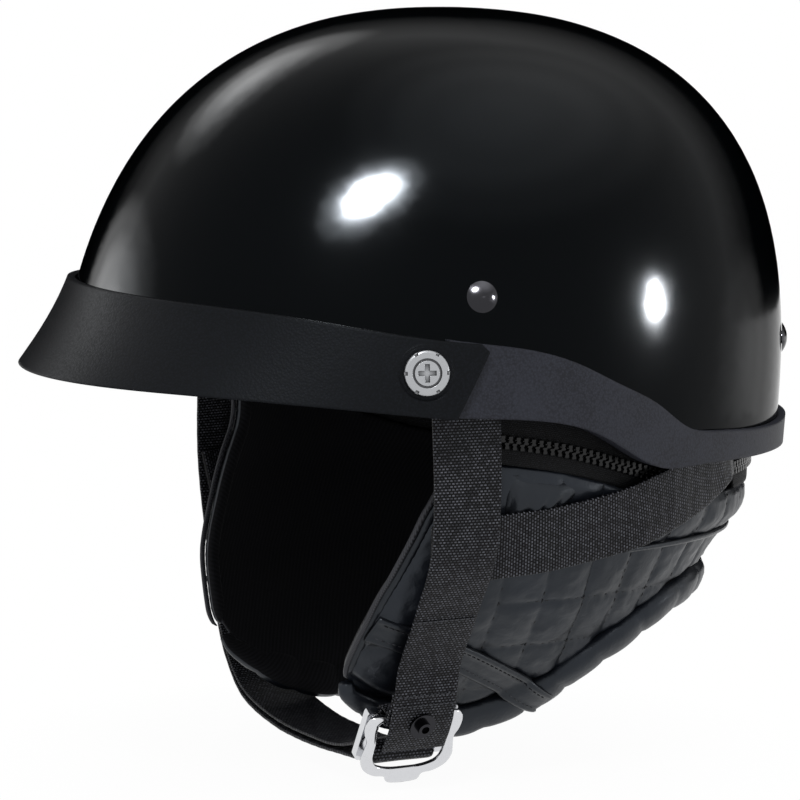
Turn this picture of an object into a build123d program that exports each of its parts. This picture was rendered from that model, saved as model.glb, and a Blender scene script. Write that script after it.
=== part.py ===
from build123d import *
import math
import os

# Half shell motorcycle helmet, millimetres.
# Front toward -Y, wearer's left toward +X, up +Z.
# The origin is the centre of the head opening, level with the widest ring of the shell.

os.makedirs("parts", exist_ok=True)

# Shell, a leaning dome whose upright outline and plan outline are power curves
shell_half_width = 112.0
shell_front = 129.0
shell_rear = 151.0
shell_height = 170.0
shell_wall = 4.0
shell_skirt = 60.0
upright_share = 2.9
round_share = 2.3
lean_share = 0.10
dome_steps = 14
flank_step = 0.5

# Clearances
fit_gap = 0.15
rest_gap = 0.35
run_gap = 0.08
side_reach = 150.0

# Liner
foam_gap = 0.4
foam_wall = 21.6
foam_rebate = 11.6
foam_rebate_height = 15.0
foam_lift = 3.6
pad_gap = 0.3
crown_pad_wall = 6.0
crown_pad_height = 96.0
head_band_wall = 7.0
head_band_height = 34.0

# Edge trim
trim_wall = 3.0
trim_floor = 2.2
trim_hook = 2.4
trim_hook_height = 5.0
trim_bead_height = 6.5

# Peak
peak_wall = 2.6
peak_lip_depth = 3.0
peak_lip_gap = 0.8
peak_boss_radius = 9.6
peak_boss_face = 6.2

# Peak fixings
screw_head_radius = 8.0
screw_head_height = 2.3
screw_cap_radius = 4.4
screw_groove_width = 0.8
screw_groove_depth = 0.9
screw_cross_length = 6.4
screw_cross_width = 1.7
screw_slot_width = 1.3
screw_slot_length = 2.2
screw_slot_count = 6
screw_shank_radius = 3.0
screw_length = 12.5
nut_flange_radius = 9.0
nut_flange_thickness = 1.5
nut_barrel_radius = 5.0
nut_barrel_length = 0.5
nut_pocket_depth = 4.0
washer_radius = 7.5
hole_gap = 0.6

# Strap rivets
rivet_head_radius = 5.6
rivet_head_rise = 2.0
rivet_shank_radius = 2.4
rivet_washer_radius = 8.0
rivet_tail_radius = 4.4
rivet_tail_thickness = 1.2
rivet_pocket_depth = 8.0

# Webbing
web_width = 25.0
web_thickness = 1.5
web_inset = 6.9
rear_web_inset = 12.1
channel_gap = 0.8
strap_station_share = -0.159
rear_leg_gap = 1.5
leg_lay_angle = 11.3
web_stations = 12

# Rings on the left strap
ring_inner_width = 28.0
ring_bar = 3.2
ring_arm_width = 4.2
outer_ring_length = 24.1
inner_ring_length = 19.6
bar_spacing = 4.1
tab_width = 13.0
tab_length = 7.0
tab_thickness = 1.8
loop_wall = 1.3
wrap_slack = 1.0
snap_flange_radius = 5.0
snap_flange_height = 0.8
snap_post_radius = 2.6
snap_post_height = 2.2
snap_bore_radius = 1.5
tail_gap = 0.5

# Zip
zip_radius = 95.0
zip_rear_inset = 11.0
zip_arc_start = 12.4
zip_chain_wall = 2.6
zip_row_height = 2.7
zip_row_gap = 0.9
zip_tape_wall = 1.0
zip_stand_off = 3.45
zip_upper_tape_height = 9.0
zip_lower_tape_height = 5.0
zip_tape_opening_gap = 2.3
slider_wall = 1.4
slider_gap = 0.2
slider_length = 11.0
slider_height = 7.2
slider_post_thickness = 0.5
slider_post_length = 3.5
slider_rest_angle = 118.0
ear_length = 3.4
ear_thickness = 1.0
pull_eye_height = 2.2
pull_pin_radius = 0.8
pull_pin_reach = 1.9
pull_length = 24.0
pull_width = 5.6
pull_neck = 3.4
pull_thickness = 1.4
stop_length = 3.0

# Curtain and ear covers
cover_wall = 3.4
lining_gap = 0.1
lining_wall = 1.2
hem_height = 8.5
hem_swell = 0.9
binding_width = 4.5
binding_swell = 0.7
band_width = 9.5
band_wall = 1.4
pocket_wall = 3.0
seam_gap = 0.3
cover_top_drop = 8.6
cover_step = -16.5

# Side view outlines, shares of the front or rear length and of the height
rim_shares = [
    (-1.10, 0.265), (-0.62, 0.236), (-0.233, 0.205), (0.057, 0.1835), (0.166, 0.155), (0.285, 0.096),
    (0.364, 0.0655), (0.477, 0.060), (0.629, 0.0547), (0.808, 0.0465), (1.10, 0.038),
]
trim_top_shares = [
    (-0.236, 0.3647), (-0.134, 0.3524), (0.0166, 0.3324), (0.121, 0.3018), (0.233, 0.2535),
    (0.3536, 0.20), (0.453, 0.1424), (0.5616, 0.124), (0.734, 0.108), (1.10, 0.106),
]
peak_top_shares = [(-1.25, 0.450), (-0.919, 0.4347), (-0.634, 0.4135), (-0.362, 0.3765), (-0.157, 0.3555)]
peak_end_shares = [(-0.157, 0.3555), (-0.136, 0.339), (-0.238, 0.2035)]
peak_bottom_shares = [
    (-1.25, 0.2545), (-1.0775, 0.2547), (-0.837, 0.25), (-0.636, 0.2385), (-0.3876, 0.2176), (-0.238, 0.2035),
]
zip_line_shares = [
    (-0.17, 0.1545), (0.093, 0.1176), (0.2185, 0.0882), (0.331, 0.0565), (0.397, 0.040), (0.4636, 0.0282),
    (0.543, 0.0212), (0.629, 0.0188), (0.75, 0.0188), (0.88, 0.0188), (1.10, 0.0188),
]
zip_side_shares = [(0.867, 0.331), (0.902, 0.2185), (0.913, 0.0927), (0.891, -0.0853)]
zip_front_share = (-0.12, -1)
cover_front_shares = [
    (-0.181, 0.178), (-0.181, 0.0576), (-0.229, -0.026), (-0.290, -0.135), (-0.336, -0.2235),
    (-0.363, -0.340), (-0.362, -0.412),
]
cover_bottom_shares = [
    (-0.362, -0.412), (-0.3326, -0.445), (-0.200, -0.505), (-0.007, -0.543), (0.0947, -0.522),
    (0.238, -0.4676), (0.321, -0.404), (0.421, -0.3447), (0.540, -0.288), (0.70, -0.268), (1.10, -0.268),
]
seam_share = 0.238
band_line_shares = [(-0.40, -0.2400), (-0.078, -0.334), (0.26, -0.485)]
pocket_shares = [(-0.03, 0.068), (0.20, 0.035), (0.10, -0.03), (-0.03, -0.055)]
screw_place_share = (-0.2985, 0.297)
front_rivet_share = (-0.1264, 0.447)
rear_rivet_share = (0.9404, 0.27)
front_leg_top_share = 0.52
rear_leg_inner_shares = [(1.0, 0.335), (0.94, 0.27), (0.55, 0.025)]
rear_leg_outer_shares = [
    (0.72, 0.135), (0.66, 0.093), (0.55, 0.025), (0.41, -0.018), (0.285, -0.047), (0.10, -0.072),
]
rear_leg_end_shares = [(0.864, -0.02, -0.085), (0.848, -0.24, -0.10)]
rear_leg_tilt_share = 0.29
snap_cap_share = 0.07

# Level sections: height, half width, front reach and rear reach, as shares of the shell's
peak_level_shares = [
    (0.494, 0.981, 0.9457), (0.4353, 1.0027, 0.972), (0.3647, 1.026, 1.0194), (0.30, 1.040, 1.0798),
    (0.247, 1.048, 1.138), (0.1765, 1.056, 1.209),
]
cover_level_shares = [
    (0.20, 0.920, 0.713, 0.762), (0.06, 0.910, 0.721, 0.762), (-0.0647, 0.875, 0.837, 0.742),
    (-0.153, 0.820, 0.930, 0.639), (-0.241, 0.755, 0.992, 0.603), (-0.306, 0.680, 1.016, 0.583),
    (-0.365, 0.615, 1.023, 0.576), (-0.412, 0.555, 1.039, 0.570), (-0.465, 0.480, 1.039, 0.563),
    (-0.529, 0.415, 1.039, 0.556), (-0.60, 0.370, 1.039, 0.556),
]
cover_centre_share = 0.1656
peak_centre_share = 0.036

# Strap routes seen from the front: shares of the half width and of the height
left_leg_shares = [
    (0.909, 0.182), (0.917, 0.0265), (0.886, -0.103), (0.762, -0.242), (0.657, -0.35), (0.628, -0.415),
    (0.593, -0.485), (0.536, -0.5435),
]
right_leg_shares = [
    (-0.909, 0.182), (-0.917, 0.0265), (-0.890, -0.103), (-0.815, -0.253), (-0.735, -0.365),
]
chin_shares = [
    (-0.795, -0.318), (-0.752, -0.375), (-0.675, -0.462), (-0.535, -0.537), (-0.28, -0.572), (0.0, -0.578),
    (0.20, -0.571),
]
outer_bar_share = (0.556, -0.4718)
outer_ring_turn = 25.3
inner_ring_turn = 31.3


def girth(height):
    """Width of the dome at a height, as a share of its widest ring."""
    if height <= 0:
        return 1.0
    return (1 - (height / shell_height) ** upright_share) ** (1 / round_share)


def flank(y, z, swell=0.0):
    """Distance of the dome's flank from the middle plane."""
    reach = shell_front if y < lean_share * z else shell_rear
    ratio = (y - lean_share * z) / ((reach + swell) * girth(z))
    return (shell_half_width + swell) * girth(z) * math.sqrt(1 - ratio**2)


def flank_plane(y, z):
    """Plane on the left flank of the dome, its z axis pointing out of the shell."""
    step = flank_step
    across = Vector(flank(y + step, z) - flank(y - step, z), step + step, 0)
    up = Vector(flank(y, z + step) - flank(y, z - step), 0, step + step)
    return Plane(origin=(flank(y, z), y, z), x_dir=across, z_dir=across.cross(up))


def side_points(shares):
    """Side view points: shares of the front or rear length, and of the height."""
    return [
        (y * (shell_front if y < 0 else shell_rear), z * shell_height) for y, z in shares
    ]


dome_store = {}


def dome(swell=0.0):
    """Closed dome, offset outward from the shell's outer face by `swell`."""
    key = round(swell, 4)
    if key in dome_store:
        return dome_store[key]
    half_width = shell_half_width + swell
    height = shell_height + swell
    points = []
    for step in range(dome_steps):
        angle = math.pi / 2 * step / dome_steps
        across = half_width * math.cos(angle) ** (2 / round_share)
        points.append((across, height * math.sin(angle) ** (2 / upright_share)))
    points.append((0, height))
    halves = []
    for side, reach in ((1, shell_rear), (-1, shell_front)):
        with BuildPart(mode=Mode.PRIVATE) as turned:
            with BuildSketch(Plane.XZ):
                with BuildLine():
                    Spline(*points, tangents=[(0, 1), (-1, 0)])
                    Polyline((0, height), (0, -shell_skirt), (half_width, -shell_skirt), (half_width, 0))
                make_face()
            revolve(axis=Axis.Z, revolution_arc=180)
        half = turned.part
        if half.center().Y * side < 0:
            half = half.mirror(Plane.XZ)
        stretch = Matrix([[1, 0, 0, 0], [0, (reach + swell) / half_width, lean_share, 0], [0, 0, 1, 0]])
        halves.append(half.transform_geometry(stretch))
    dome_store[key] = halves[0].fuse(halves[1])
    return dome_store[key]


def egg_loft(levels, centre, swell=0.0, ruled=False):
    """Loft through level sections, each two half ellipses on one centre."""
    with BuildPart(mode=Mode.PRIVATE) as body:
        for height, width, front, rear in levels:
            with BuildSketch(Plane.XY.offset(height)):
                with BuildLine():
                    for reach, start in ((rear, 0), (front, 180)):
                        reach += swell
                        EllipticalCenterArc((0, centre), width + swell, reach, start_angle=start, arc_size=180)
                make_face()
        loft(ruled=ruled)
    return body.part


cover_levels = [
    (z * shell_height, w * shell_half_width, f * shell_front, b * shell_rear)
    for z, w, f, b in cover_level_shares
]
cover_centre = cover_centre_share * shell_rear
peak_levels = [
    (z * shell_height, w * shell_half_width, f * shell_front, f * shell_front)
    for z, w, f in peak_level_shares
]
peak_centre = peak_centre_share * shell_rear
cover_store = {}


def cover_body(swell=0.0):
    """Solid whose side is the covers' outer face, offset outward by `swell`."""
    key = round(swell, 4)
    if key not in cover_store:
        cover_store[key] = egg_loft(cover_levels, cover_centre, swell, ruled=True)
    return cover_store[key]


def cover_flank(y, z, swell=0.0):
    """Distance of the cover's flank from the middle plane."""
    for upper, lower in zip(cover_levels, cover_levels[1:]):
        if z >= lower[0]:
            break
    share = (z - lower[0]) / (upper[0] - lower[0])
    width, front, rear = (low + (high - low) * share for high, low in zip(upper[1:], lower[1:]))
    reach = front if y < cover_centre else rear
    return (width + swell) * math.sqrt(1 - ((y - cover_centre) / (reach + swell)) ** 2)


def layer(body, outer, inner):
    """Wall between two offsets of a dome or a cover."""
    return body(outer) - body(inner)


def raised(points, amount):
    return [(y, z + amount) for y, z in points]


def curve(points):
    return Spline(*points) if len(points) > 2 else Line(*points)


def side_band(upper, lower):
    """Side view face between two curves that run from front to rear."""
    with BuildSketch(Plane.YZ, mode=Mode.PRIVATE) as band:
        with BuildLine():
            top = curve(upper)
            low = curve(lower)
            Line(top @ 0, low @ 0)
            Line(top @ 1, low @ 1)
        make_face()
    return band.sketch


def side_box(y_low, y_high, z_low, z_high):
    return side_band([(y_low, z_high), (y_high, z_high)], [(y_low, z_low), (y_high, z_low)])


def strip(points, width):
    """Side view strip of even width along a line of points."""
    with BuildSketch(Plane.YZ, mode=Mode.PRIVATE) as band:
        with BuildLine():
            curve(points)
        trace(line_width=width)
    return band.sketch


def keep(face, reach=side_reach):
    """Keep only what lies under a side view face, in the part being built."""
    extrude(face, amount=reach, both=True, mode=Mode.INTERSECT)


def carve(face, reach=side_reach):
    extrude(face, amount=reach, both=True, mode=Mode.SUBTRACT)


def keep_left():
    """Keep only the left half of the part being built."""
    split(bisect_by=Plane.YZ, keep=Keep.TOP)


def save(part, name):
    part.label = name
    export_step(part, f"parts/{name}.step")


def save_pair(part, name):
    """A left piece and its mirror image."""
    save(part, name + "_left")
    save(part.mirror(Plane.YZ), name + "_right")


def save_group(parts, name):
    """Like pieces on both sides, as one group of separate solids."""
    both = []
    for part in parts:
        both.append(part)
        both.append(part.mirror(Plane.YZ))
    save(Compound(children=both), name)


rim_line = side_points(rim_shares)
trim_top = side_points(trim_top_shares)
zip_line = side_points(zip_line_shares)
rear_end = rim_line[-1][0]
sky = [(rim_line[0][0], shell_height + side_reach), (rear_end, shell_height + side_reach)]
strap_station = strap_station_share * shell_front


def above_rim(lift):
    return side_band(sky, raised(rim_line, lift))


# Fixing places on the left flank
screw_plane = flank_plane(*side_points([screw_place_share])[0])
front_rivet_plane = flank_plane(*side_points([front_rivet_share])[0])
rear_rivet_plane = flank_plane(*side_points([rear_rivet_share])[0])
rivet_planes = (front_rivet_plane, rear_rivet_plane)
shank_hole_radius = screw_shank_radius + hole_gap
rivet_hole_radius = rivet_shank_radius + fit_gap


def bore(plane, radius, start, depth):
    """Round bar on a fixing's axis, going inward from `start`."""
    with BuildPart(mode=Mode.PRIVATE) as bar:
        with BuildSketch(plane.offset(start)):
            Circle(radius)
        extrude(amount=-depth)
    return bar.part


def bore_both(plane, radius, start, depth):
    bar = bore(plane, radius, start, depth)
    return [bar, bar.mirror(Plane.YZ)]


def sag(radius):
    """How far the shell falls away from a flat disc of this radius."""
    return radius**2 / (shell_half_width + shell_half_width)


# Outer shell
shell_face = dome()
shell_inside = dome(-shell_wall)
shell_holes = bore_both(screw_plane, shank_hole_radius, peak_boss_face, peak_boss_face + foam_wall)
for plane in rivet_planes:
    shell_holes += bore_both(plane, rivet_hole_radius, peak_boss_face, peak_boss_face + foam_wall)
with BuildPart() as outer_shell:
    add(shell_face)
    keep(above_rim(trim_floor + fit_gap))
    add(shell_inside, mode=Mode.SUBTRACT)
    add(shell_holes, mode=Mode.SUBTRACT)
save(outer_shell.part, "outer_shell")

# Foam liner, thinned along the rim and channelled for the webbing
foam_face = shell_wall + foam_gap
channel_width = web_width + channel_gap + channel_gap
front_leg_top = front_leg_top_share * shell_height
rear_leg_inner = side_points(rear_leg_inner_shares)
front_channel_layer = layer(dome, -foam_face + fit_gap, -(web_inset + web_thickness + channel_gap))
rear_channel_layer = layer(dome, -foam_face + fit_gap, -(rear_web_inset + web_thickness + channel_gap))
rebate_layer = layer(dome, -foam_face + fit_gap, -foam_face - foam_rebate)
with BuildPart() as front_channel:
    add(front_channel_layer)
    half_channel = channel_width / 2
    channel_top = front_leg_top + channel_gap
    keep(side_box(strap_station - half_channel, strap_station + half_channel, 0, channel_top))
with BuildPart() as rear_channel:
    add(rear_channel_layer)
    keep(strip(rear_leg_inner, channel_width))
with BuildPart() as rebate:
    add(rebate_layer)
    keep(side_band(raised(rim_line, foam_rebate_height), raised(rim_line, -foam_rebate_height)))
foam_outside = dome(-foam_face)
foam_inside = dome(-foam_face - foam_wall)
foam_pockets = bore_both(screw_plane, nut_flange_radius + hole_gap, 0, shell_wall + nut_pocket_depth)
rivet_pocket_radius = rivet_washer_radius + hole_gap
foam_pockets += bore_both(front_rivet_plane, rivet_pocket_radius, 0, shell_wall + rivet_pocket_depth)
rear_pocket_depth = rear_web_inset + web_thickness + rivet_pocket_depth / 2
foam_pockets += bore_both(rear_rivet_plane, rivet_pocket_radius, 0, rear_pocket_depth)
with BuildPart() as eps_liner:
    add(foam_outside)
    keep(above_rim(foam_lift))
    add(foam_inside, mode=Mode.SUBTRACT)
    add([rebate.part, front_channel.part, rear_channel.part], mode=Mode.SUBTRACT)
    add(foam_pockets, mode=Mode.SUBTRACT)
save(eps_liner.part, "eps_liner")

# Comfort pads inside the foam
pad_face = foam_face + foam_wall + pad_gap
crown_layer = layer(dome, -pad_face, -pad_face - crown_pad_wall)
with BuildPart() as crown_pad:
    add(crown_layer)
    keep(side_band(sky, [(rim_line[0][0], crown_pad_height), (rear_end, crown_pad_height)]))
save(crown_pad.part, "crown_pad")

head_layer = layer(dome, -pad_face, -pad_face - head_band_wall)
with BuildPart() as head_band:
    add(head_layer)
    keep(side_band(raised(rim_line, foam_lift + head_band_height), raised(rim_line, foam_lift)))
save(head_band.part, "head_band")

# Edge trim, a channel that hooks over the rim
tall_face = side_band(trim_top, rim_line) & side_box(trim_top[0][0], rear_end, -shell_height, shell_height)
trim_face = side_band(raised(rim_line, trim_bead_height), rim_line) + tall_face
trim_layer = layer(dome, trim_wall, -(shell_wall + fit_gap + trim_hook))
slot_layer = layer(dome, fit_gap, -(shell_wall + fit_gap))
with BuildPart() as trim_slot:
    add(slot_layer)
    keep(above_rim(trim_floor))
trim_inside = dome(-(shell_wall + fit_gap))
with BuildPart() as trim_core:
    add(trim_inside)
    keep(above_rim(trim_hook_height))
with BuildPart() as edge_trim:
    add(trim_layer)
    keep(trim_face)
    add([trim_slot.part, trim_core.part], mode=Mode.SUBTRACT)
save(edge_trim.part, "edge_trim")

# Peak, with a lip along its top that closes the gap to the shell
peak_outside = egg_loft(peak_levels, peak_centre)
peak_inside = egg_loft(peak_levels, peak_centre, -peak_wall)
with BuildSketch(Plane.YZ) as peak_outline:
    with BuildLine():
        peak_top = Spline(*side_points(peak_top_shares))
        peak_bottom = Spline(*side_points(peak_bottom_shares))
        Polyline(*side_points(peak_end_shares))
        Line(peak_top @ 0, peak_bottom @ 0)
    make_face()
lip_top = side_points(peak_top_shares)
lip_face = side_band(lip_top, raised(lip_top, -peak_lip_depth))
lip_face = lip_face & side_box(lip_top[0][0], screw_plane.origin.Y, 0, shell_height)
lip_clear = dome(peak_lip_gap)
bead_clear = side_band(raised(rim_line, trim_bead_height + trim_wall), raised(rim_line, -trim_bead_height))
tall_clear = side_band(raised(trim_top, trim_wall), raised(rim_line, -trim_bead_height))
tall_clear = tall_clear & side_box(trim_top[0][0] - trim_wall, rear_end, -shell_height, shell_height)
with BuildPart() as peak_clear:
    add(dome(trim_wall + peak_lip_gap))
    keep(bead_clear + tall_clear)
with BuildPart() as peak_lip:
    add(peak_outside)
    keep(lip_face)
boss_inner = peak_boss_face - peak_wall - rest_gap
bosses = bore_both(screw_plane, peak_boss_radius, peak_boss_face, peak_boss_face - boss_inner)
boss_cuts = bore_both(screw_plane, peak_boss_radius, peak_boss_face + peak_boss_radius, peak_boss_radius)
washer_cuts = bore_both(screw_plane, peak_boss_radius, boss_inner, boss_inner)
boss_holes = bore_both(screw_plane, shank_hole_radius, peak_boss_face + peak_boss_radius, side_reach / 2)
with BuildPart() as peak:
    add(peak_outside)
    add(peak_inside, mode=Mode.SUBTRACT)
    keep(peak_outline.sketch)
    add(peak_lip.part)
    add([lip_clear, peak_clear.part], mode=Mode.SUBTRACT)
    add([*boss_cuts, *washer_cuts], mode=Mode.SUBTRACT)
    add(bosses)
    add(boss_holes, mode=Mode.SUBTRACT)
save(peak.part, "peak")

# Peak screws, button heads with a cap, a cross recess and a ring of slots
head_seat = peak_boss_face + rest_gap
head_top = head_seat + screw_head_height
head_plane = screw_plane.offset(head_top)
with BuildPart() as peak_screw:
    with BuildSketch(screw_plane.offset(head_seat)):
        Circle(screw_head_radius)
    extrude(amount=screw_head_height)
    head_edges = peak_screw.faces().sort_by(SortBy.AREA)[-2:].edges()
    top_edges = head_edges.group_by(Axis(screw_plane.origin, screw_plane.z_dir))[-1]
    fillet(top_edges, radius=screw_groove_depth)
    with BuildSketch(screw_plane.offset(head_seat)):
        Circle(screw_shank_radius)
    extrude(amount=-screw_length)
    with BuildSketch(head_plane):
        Circle(screw_cap_radius + screw_groove_width)
        Circle(screw_cap_radius, mode=Mode.SUBTRACT)
        Rectangle(screw_cross_length, screw_cross_width)
        Rectangle(screw_cross_width, screw_cross_length)
        with PolarLocations(screw_head_radius, screw_slot_count):
            Rectangle(screw_slot_length, screw_slot_width)
    extrude(amount=-screw_groove_depth, mode=Mode.SUBTRACT)
save_group([peak_screw.part], "peak_screws")

with BuildPart() as peak_washer:
    with BuildSketch(screw_plane.offset(fit_gap)):
        Circle(washer_radius)
        Circle(shank_hole_radius, mode=Mode.SUBTRACT)
    extrude(amount=boss_inner - rest_gap - fit_gap)
save_group([peak_washer.part], "peak_washers")

nut_seat = shell_wall + fit_gap + sag(nut_flange_radius)
with BuildPart() as peak_nut:
    with BuildSketch(screw_plane.offset(-nut_seat)):
        Circle(nut_flange_radius)
    extrude(amount=-nut_flange_thickness)
    with BuildSketch(screw_plane.offset(-nut_seat)):
        Circle(nut_barrel_radius)
    extrude(amount=-nut_flange_thickness - nut_barrel_length)
    with BuildSketch(screw_plane.offset(-nut_seat)):
        Circle(screw_shank_radius + fit_gap)
    extrude(amount=-nut_flange_thickness - nut_barrel_length, mode=Mode.SUBTRACT)
save_group([peak_nut.part], "peak_nuts")


# Strap rivets and the spacers behind the shell
def rivet(plane, inset):
    tail_face = inset + web_thickness + rest_gap + sag(rivet_tail_radius)
    head_radius = (rivet_head_radius**2 + rivet_head_rise**2) / (rivet_head_rise + rivet_head_rise)
    with BuildPart() as ball:
        with Locations(plane.offset(fit_gap + rivet_head_rise - head_radius)):
            Sphere(head_radius)
    with BuildPart() as whole:
        with BuildSketch(plane.offset(fit_gap)):
            Circle(rivet_head_radius)
        extrude(amount=rivet_head_rise)
        add(ball.part, mode=Mode.INTERSECT)
        with BuildSketch(plane.offset(fit_gap)):
            Circle(rivet_shank_radius)
        extrude(amount=-fit_gap - tail_face)
        with BuildSketch(plane.offset(-tail_face)):
            Circle(rivet_tail_radius)
        extrude(amount=-rivet_tail_thickness)
    return whole.part


def rivet_spacer(plane, inset):
    seat = shell_wall + fit_gap + sag(rivet_washer_radius)
    with BuildPart() as ring:
        with BuildSketch(plane.offset(-seat)):
            Circle(rivet_washer_radius)
            Circle(rivet_hole_radius, mode=Mode.SUBTRACT)
        extrude(amount=seat + fit_gap - inset)
    return ring.part


save_group([rivet(front_rivet_plane, web_inset), rivet(rear_rivet_plane, rear_web_inset)], "strap_rivets")
spacers = [rivet_spacer(front_rivet_plane, web_inset), rivet_spacer(rear_rivet_plane, rear_web_inset)]
save_group(spacers, "rivet_washers")


# Webbing
def front_points(shares):
    """Front view points: shares of the half width and of the height."""
    return [(x * shell_half_width, z * shell_height) for x, z in shares]


def web_loft(points, across):
    """Strap through 3D points; `across` gives its width direction at each station."""
    line = Spline(*points)
    with BuildPart(mode=Mode.PRIVATE) as web:
        for step in range(web_stations + 1):
            place = line @ (step / web_stations)
            ahead = line % (step / web_stations)
            with BuildSketch(Plane(origin=place, x_dir=across(place, ahead), z_dir=ahead)):
                Rectangle(web_width, web_thickness)
        loft()
    return web.part


def leg_across(place, ahead):
    """The leg lies on the shell at its top and turns to face sideways lower down."""
    low = left_leg_shares[3][1] * shell_height
    high = left_leg_shares[0][1] * shell_height
    turn = math.radians(leg_lay_angle) * max(0, (place.Z - low) / (high - low))
    side = 1 if place.X > 0 else -1
    return Vector(side * math.sin(turn), math.cos(turn), 0)


hug_layer = layer(dome, -web_inset, -web_inset - web_thickness)
leg_low = left_leg_shares[0][1] * shell_height
leg_holes = bore_both(front_rivet_plane, rivet_hole_radius, 0, web_inset + web_thickness + rivet_pocket_depth)
legs = []
for shares, hole in ((left_leg_shares, leg_holes[0]), (right_leg_shares, leg_holes[1])):
    drop = web_loft([(x, strap_station, z) for x, z in front_points(shares)], leg_across)
    with BuildPart() as hug:
        add(hug_layer)
        half_web = web_width / 2
        hug_low = leg_low - web_thickness - web_thickness
        keep(side_box(strap_station - half_web, strap_station + half_web, hug_low, front_leg_top))
        split(bisect_by=Plane.YZ, keep=Keep.TOP if shares[0][0] > 0 else Keep.BOTTOM)
    with BuildPart() as leg:
        add(hug.part)
        add(drop)
        add(hole, mode=Mode.SUBTRACT)
    legs.append(leg.part)
save(legs[0], "front_strap_left")
save(legs[1], "front_strap_right")

# Rear legs run inside the zip, then come out under its chain and cross the cover
rear_leg_outer = side_points(rear_leg_outer_shares)
rear_face = rear_leg_gap + web_thickness / 2
rear_points = [(cover_flank(y, z, rear_face), y, z) for y, z in rear_leg_outer]
rear_ends = [(x * shell_half_width, y * shell_front, z * shell_height) for x, y, z in rear_leg_end_shares]
rear_points += rear_ends


def rear_across(place, ahead):
    step = web_thickness
    if place.Y < rear_leg_outer[-1][0]:
        return Vector(rear_leg_tilt_share, 0, 1)
    front = Vector(cover_flank(place.Y - step, place.Z), -step, 0)
    rear = Vector(cover_flank(place.Y + step, place.Z), step, 0)
    low = Vector(cover_flank(place.Y, place.Z - step), 0, -step)
    high = Vector(cover_flank(place.Y, place.Z + step), 0, step)
    normal = (rear - front).cross(high - low)
    return normal.cross(ahead)


zip_low_line = raised(zip_line, -zip_stand_off)
under_zip = side_band(zip_low_line, raised(zip_low_line, -shell_height))
over_zip = side_band(sky, raised(zip_low_line, -web_thickness))
shelf_face = side_band(zip_low_line, raised(zip_low_line, -web_thickness))
rear_inner_layer = layer(dome, -rear_web_inset, -rear_web_inset - web_thickness)
rear_outer_loft = web_loft(rear_points, rear_across)
shelf_outer = cover_body(rear_face)
shelf_inner = dome(-rear_web_inset - web_thickness / 2)
rear_hole = bore(rear_rivet_plane, rivet_hole_radius, 0, rear_web_inset + web_thickness + rivet_pocket_depth)
rear_route = strip(rear_leg_inner, web_width)
with BuildPart() as rear_inner:
    add(rear_inner_layer)
    keep(rear_route)
    keep(over_zip)
    keep_left()
with BuildPart() as rear_shelf:
    add(shelf_outer)
    keep(shelf_face)
    keep(rear_route)
    add(shelf_inner, mode=Mode.SUBTRACT)
    keep_left()
with BuildPart() as rear_outer:
    add(rear_outer_loft)
    keep(under_zip)
with BuildPart() as rear_strap:
    add([rear_inner.part, rear_shelf.part, rear_outer.part])
    add(rear_hole, mode=Mode.SUBTRACT)
save_pair(rear_strap.part, "rear_strap")

# Rings: two steel D rings whose round upper bars turn in the webbing loop
outer_pivot = Vector(outer_bar_share[0] * shell_half_width, strap_station, outer_bar_share[1] * shell_height)
loop_turn = math.radians(outer_ring_turn)
inner_pivot = outer_pivot + Vector(-math.cos(loop_turn), 0, math.sin(loop_turn)) * bar_spacing


def ring_plane(pivot, turn):
    """Plane of a ring: x along the bar, y from the upper bar to the lower bar."""
    down = Vector(-math.sin(math.radians(turn)), 0, -math.cos(math.radians(turn)))
    along = Vector(0, 1, 0)
    return Plane(origin=pivot, x_dir=along, z_dir=along.cross(down))


def ring(pivot, turn, length, tabbed):
    plane = ring_plane(pivot, turn)
    half_bar = ring_bar / 2
    outer_width = ring_inner_width + ring_arm_width + ring_arm_width
    middle = Plane(origin=plane.from_local_coords((0, length / 2, 0)), x_dir=plane.x_dir, z_dir=plane.z_dir)
    lower = Plane(origin=plane.from_local_coords((0, length, 0)), x_dir=plane.x_dir, z_dir=plane.z_dir)
    bar_planes = [Plane(origin=plane.origin, x_dir=plane.z_dir, z_dir=plane.x_dir)]
    if not tabbed:
        bar_planes.append(Plane(origin=lower.origin, x_dir=plane.z_dir, z_dir=plane.x_dir))
    with BuildPart() as shape:
        with BuildSketch(middle):
            RectangleRounded(outer_width, length + ring_bar, half_bar)
            RectangleRounded(ring_inner_width, length - ring_bar, half_bar, mode=Mode.SUBTRACT)
        extrude(amount=half_bar, both=True)
        for bar_plane in bar_planes:
            with BuildSketch(bar_plane):
                Rectangle(ring_bar + ring_bar, ring_bar + ring_bar)
            extrude(amount=ring_inner_width / 2, both=True, mode=Mode.SUBTRACT)
            with BuildSketch(bar_plane):
                Circle(half_bar)
            extrude(amount=ring_inner_width / 2, both=True)
        if tabbed:
            with BuildSketch(lower):
                with Locations((0, tab_length / 2)):
                    Rectangle(tab_width, tab_length)
            extrude(amount=tab_thickness / 2, both=True)
    return shape.part


save(ring(outer_pivot, outer_ring_turn, outer_ring_length, True), "d_ring_outer")
save(ring(inner_pivot, inner_ring_turn, inner_ring_length, False), "d_ring_inner")

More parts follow.
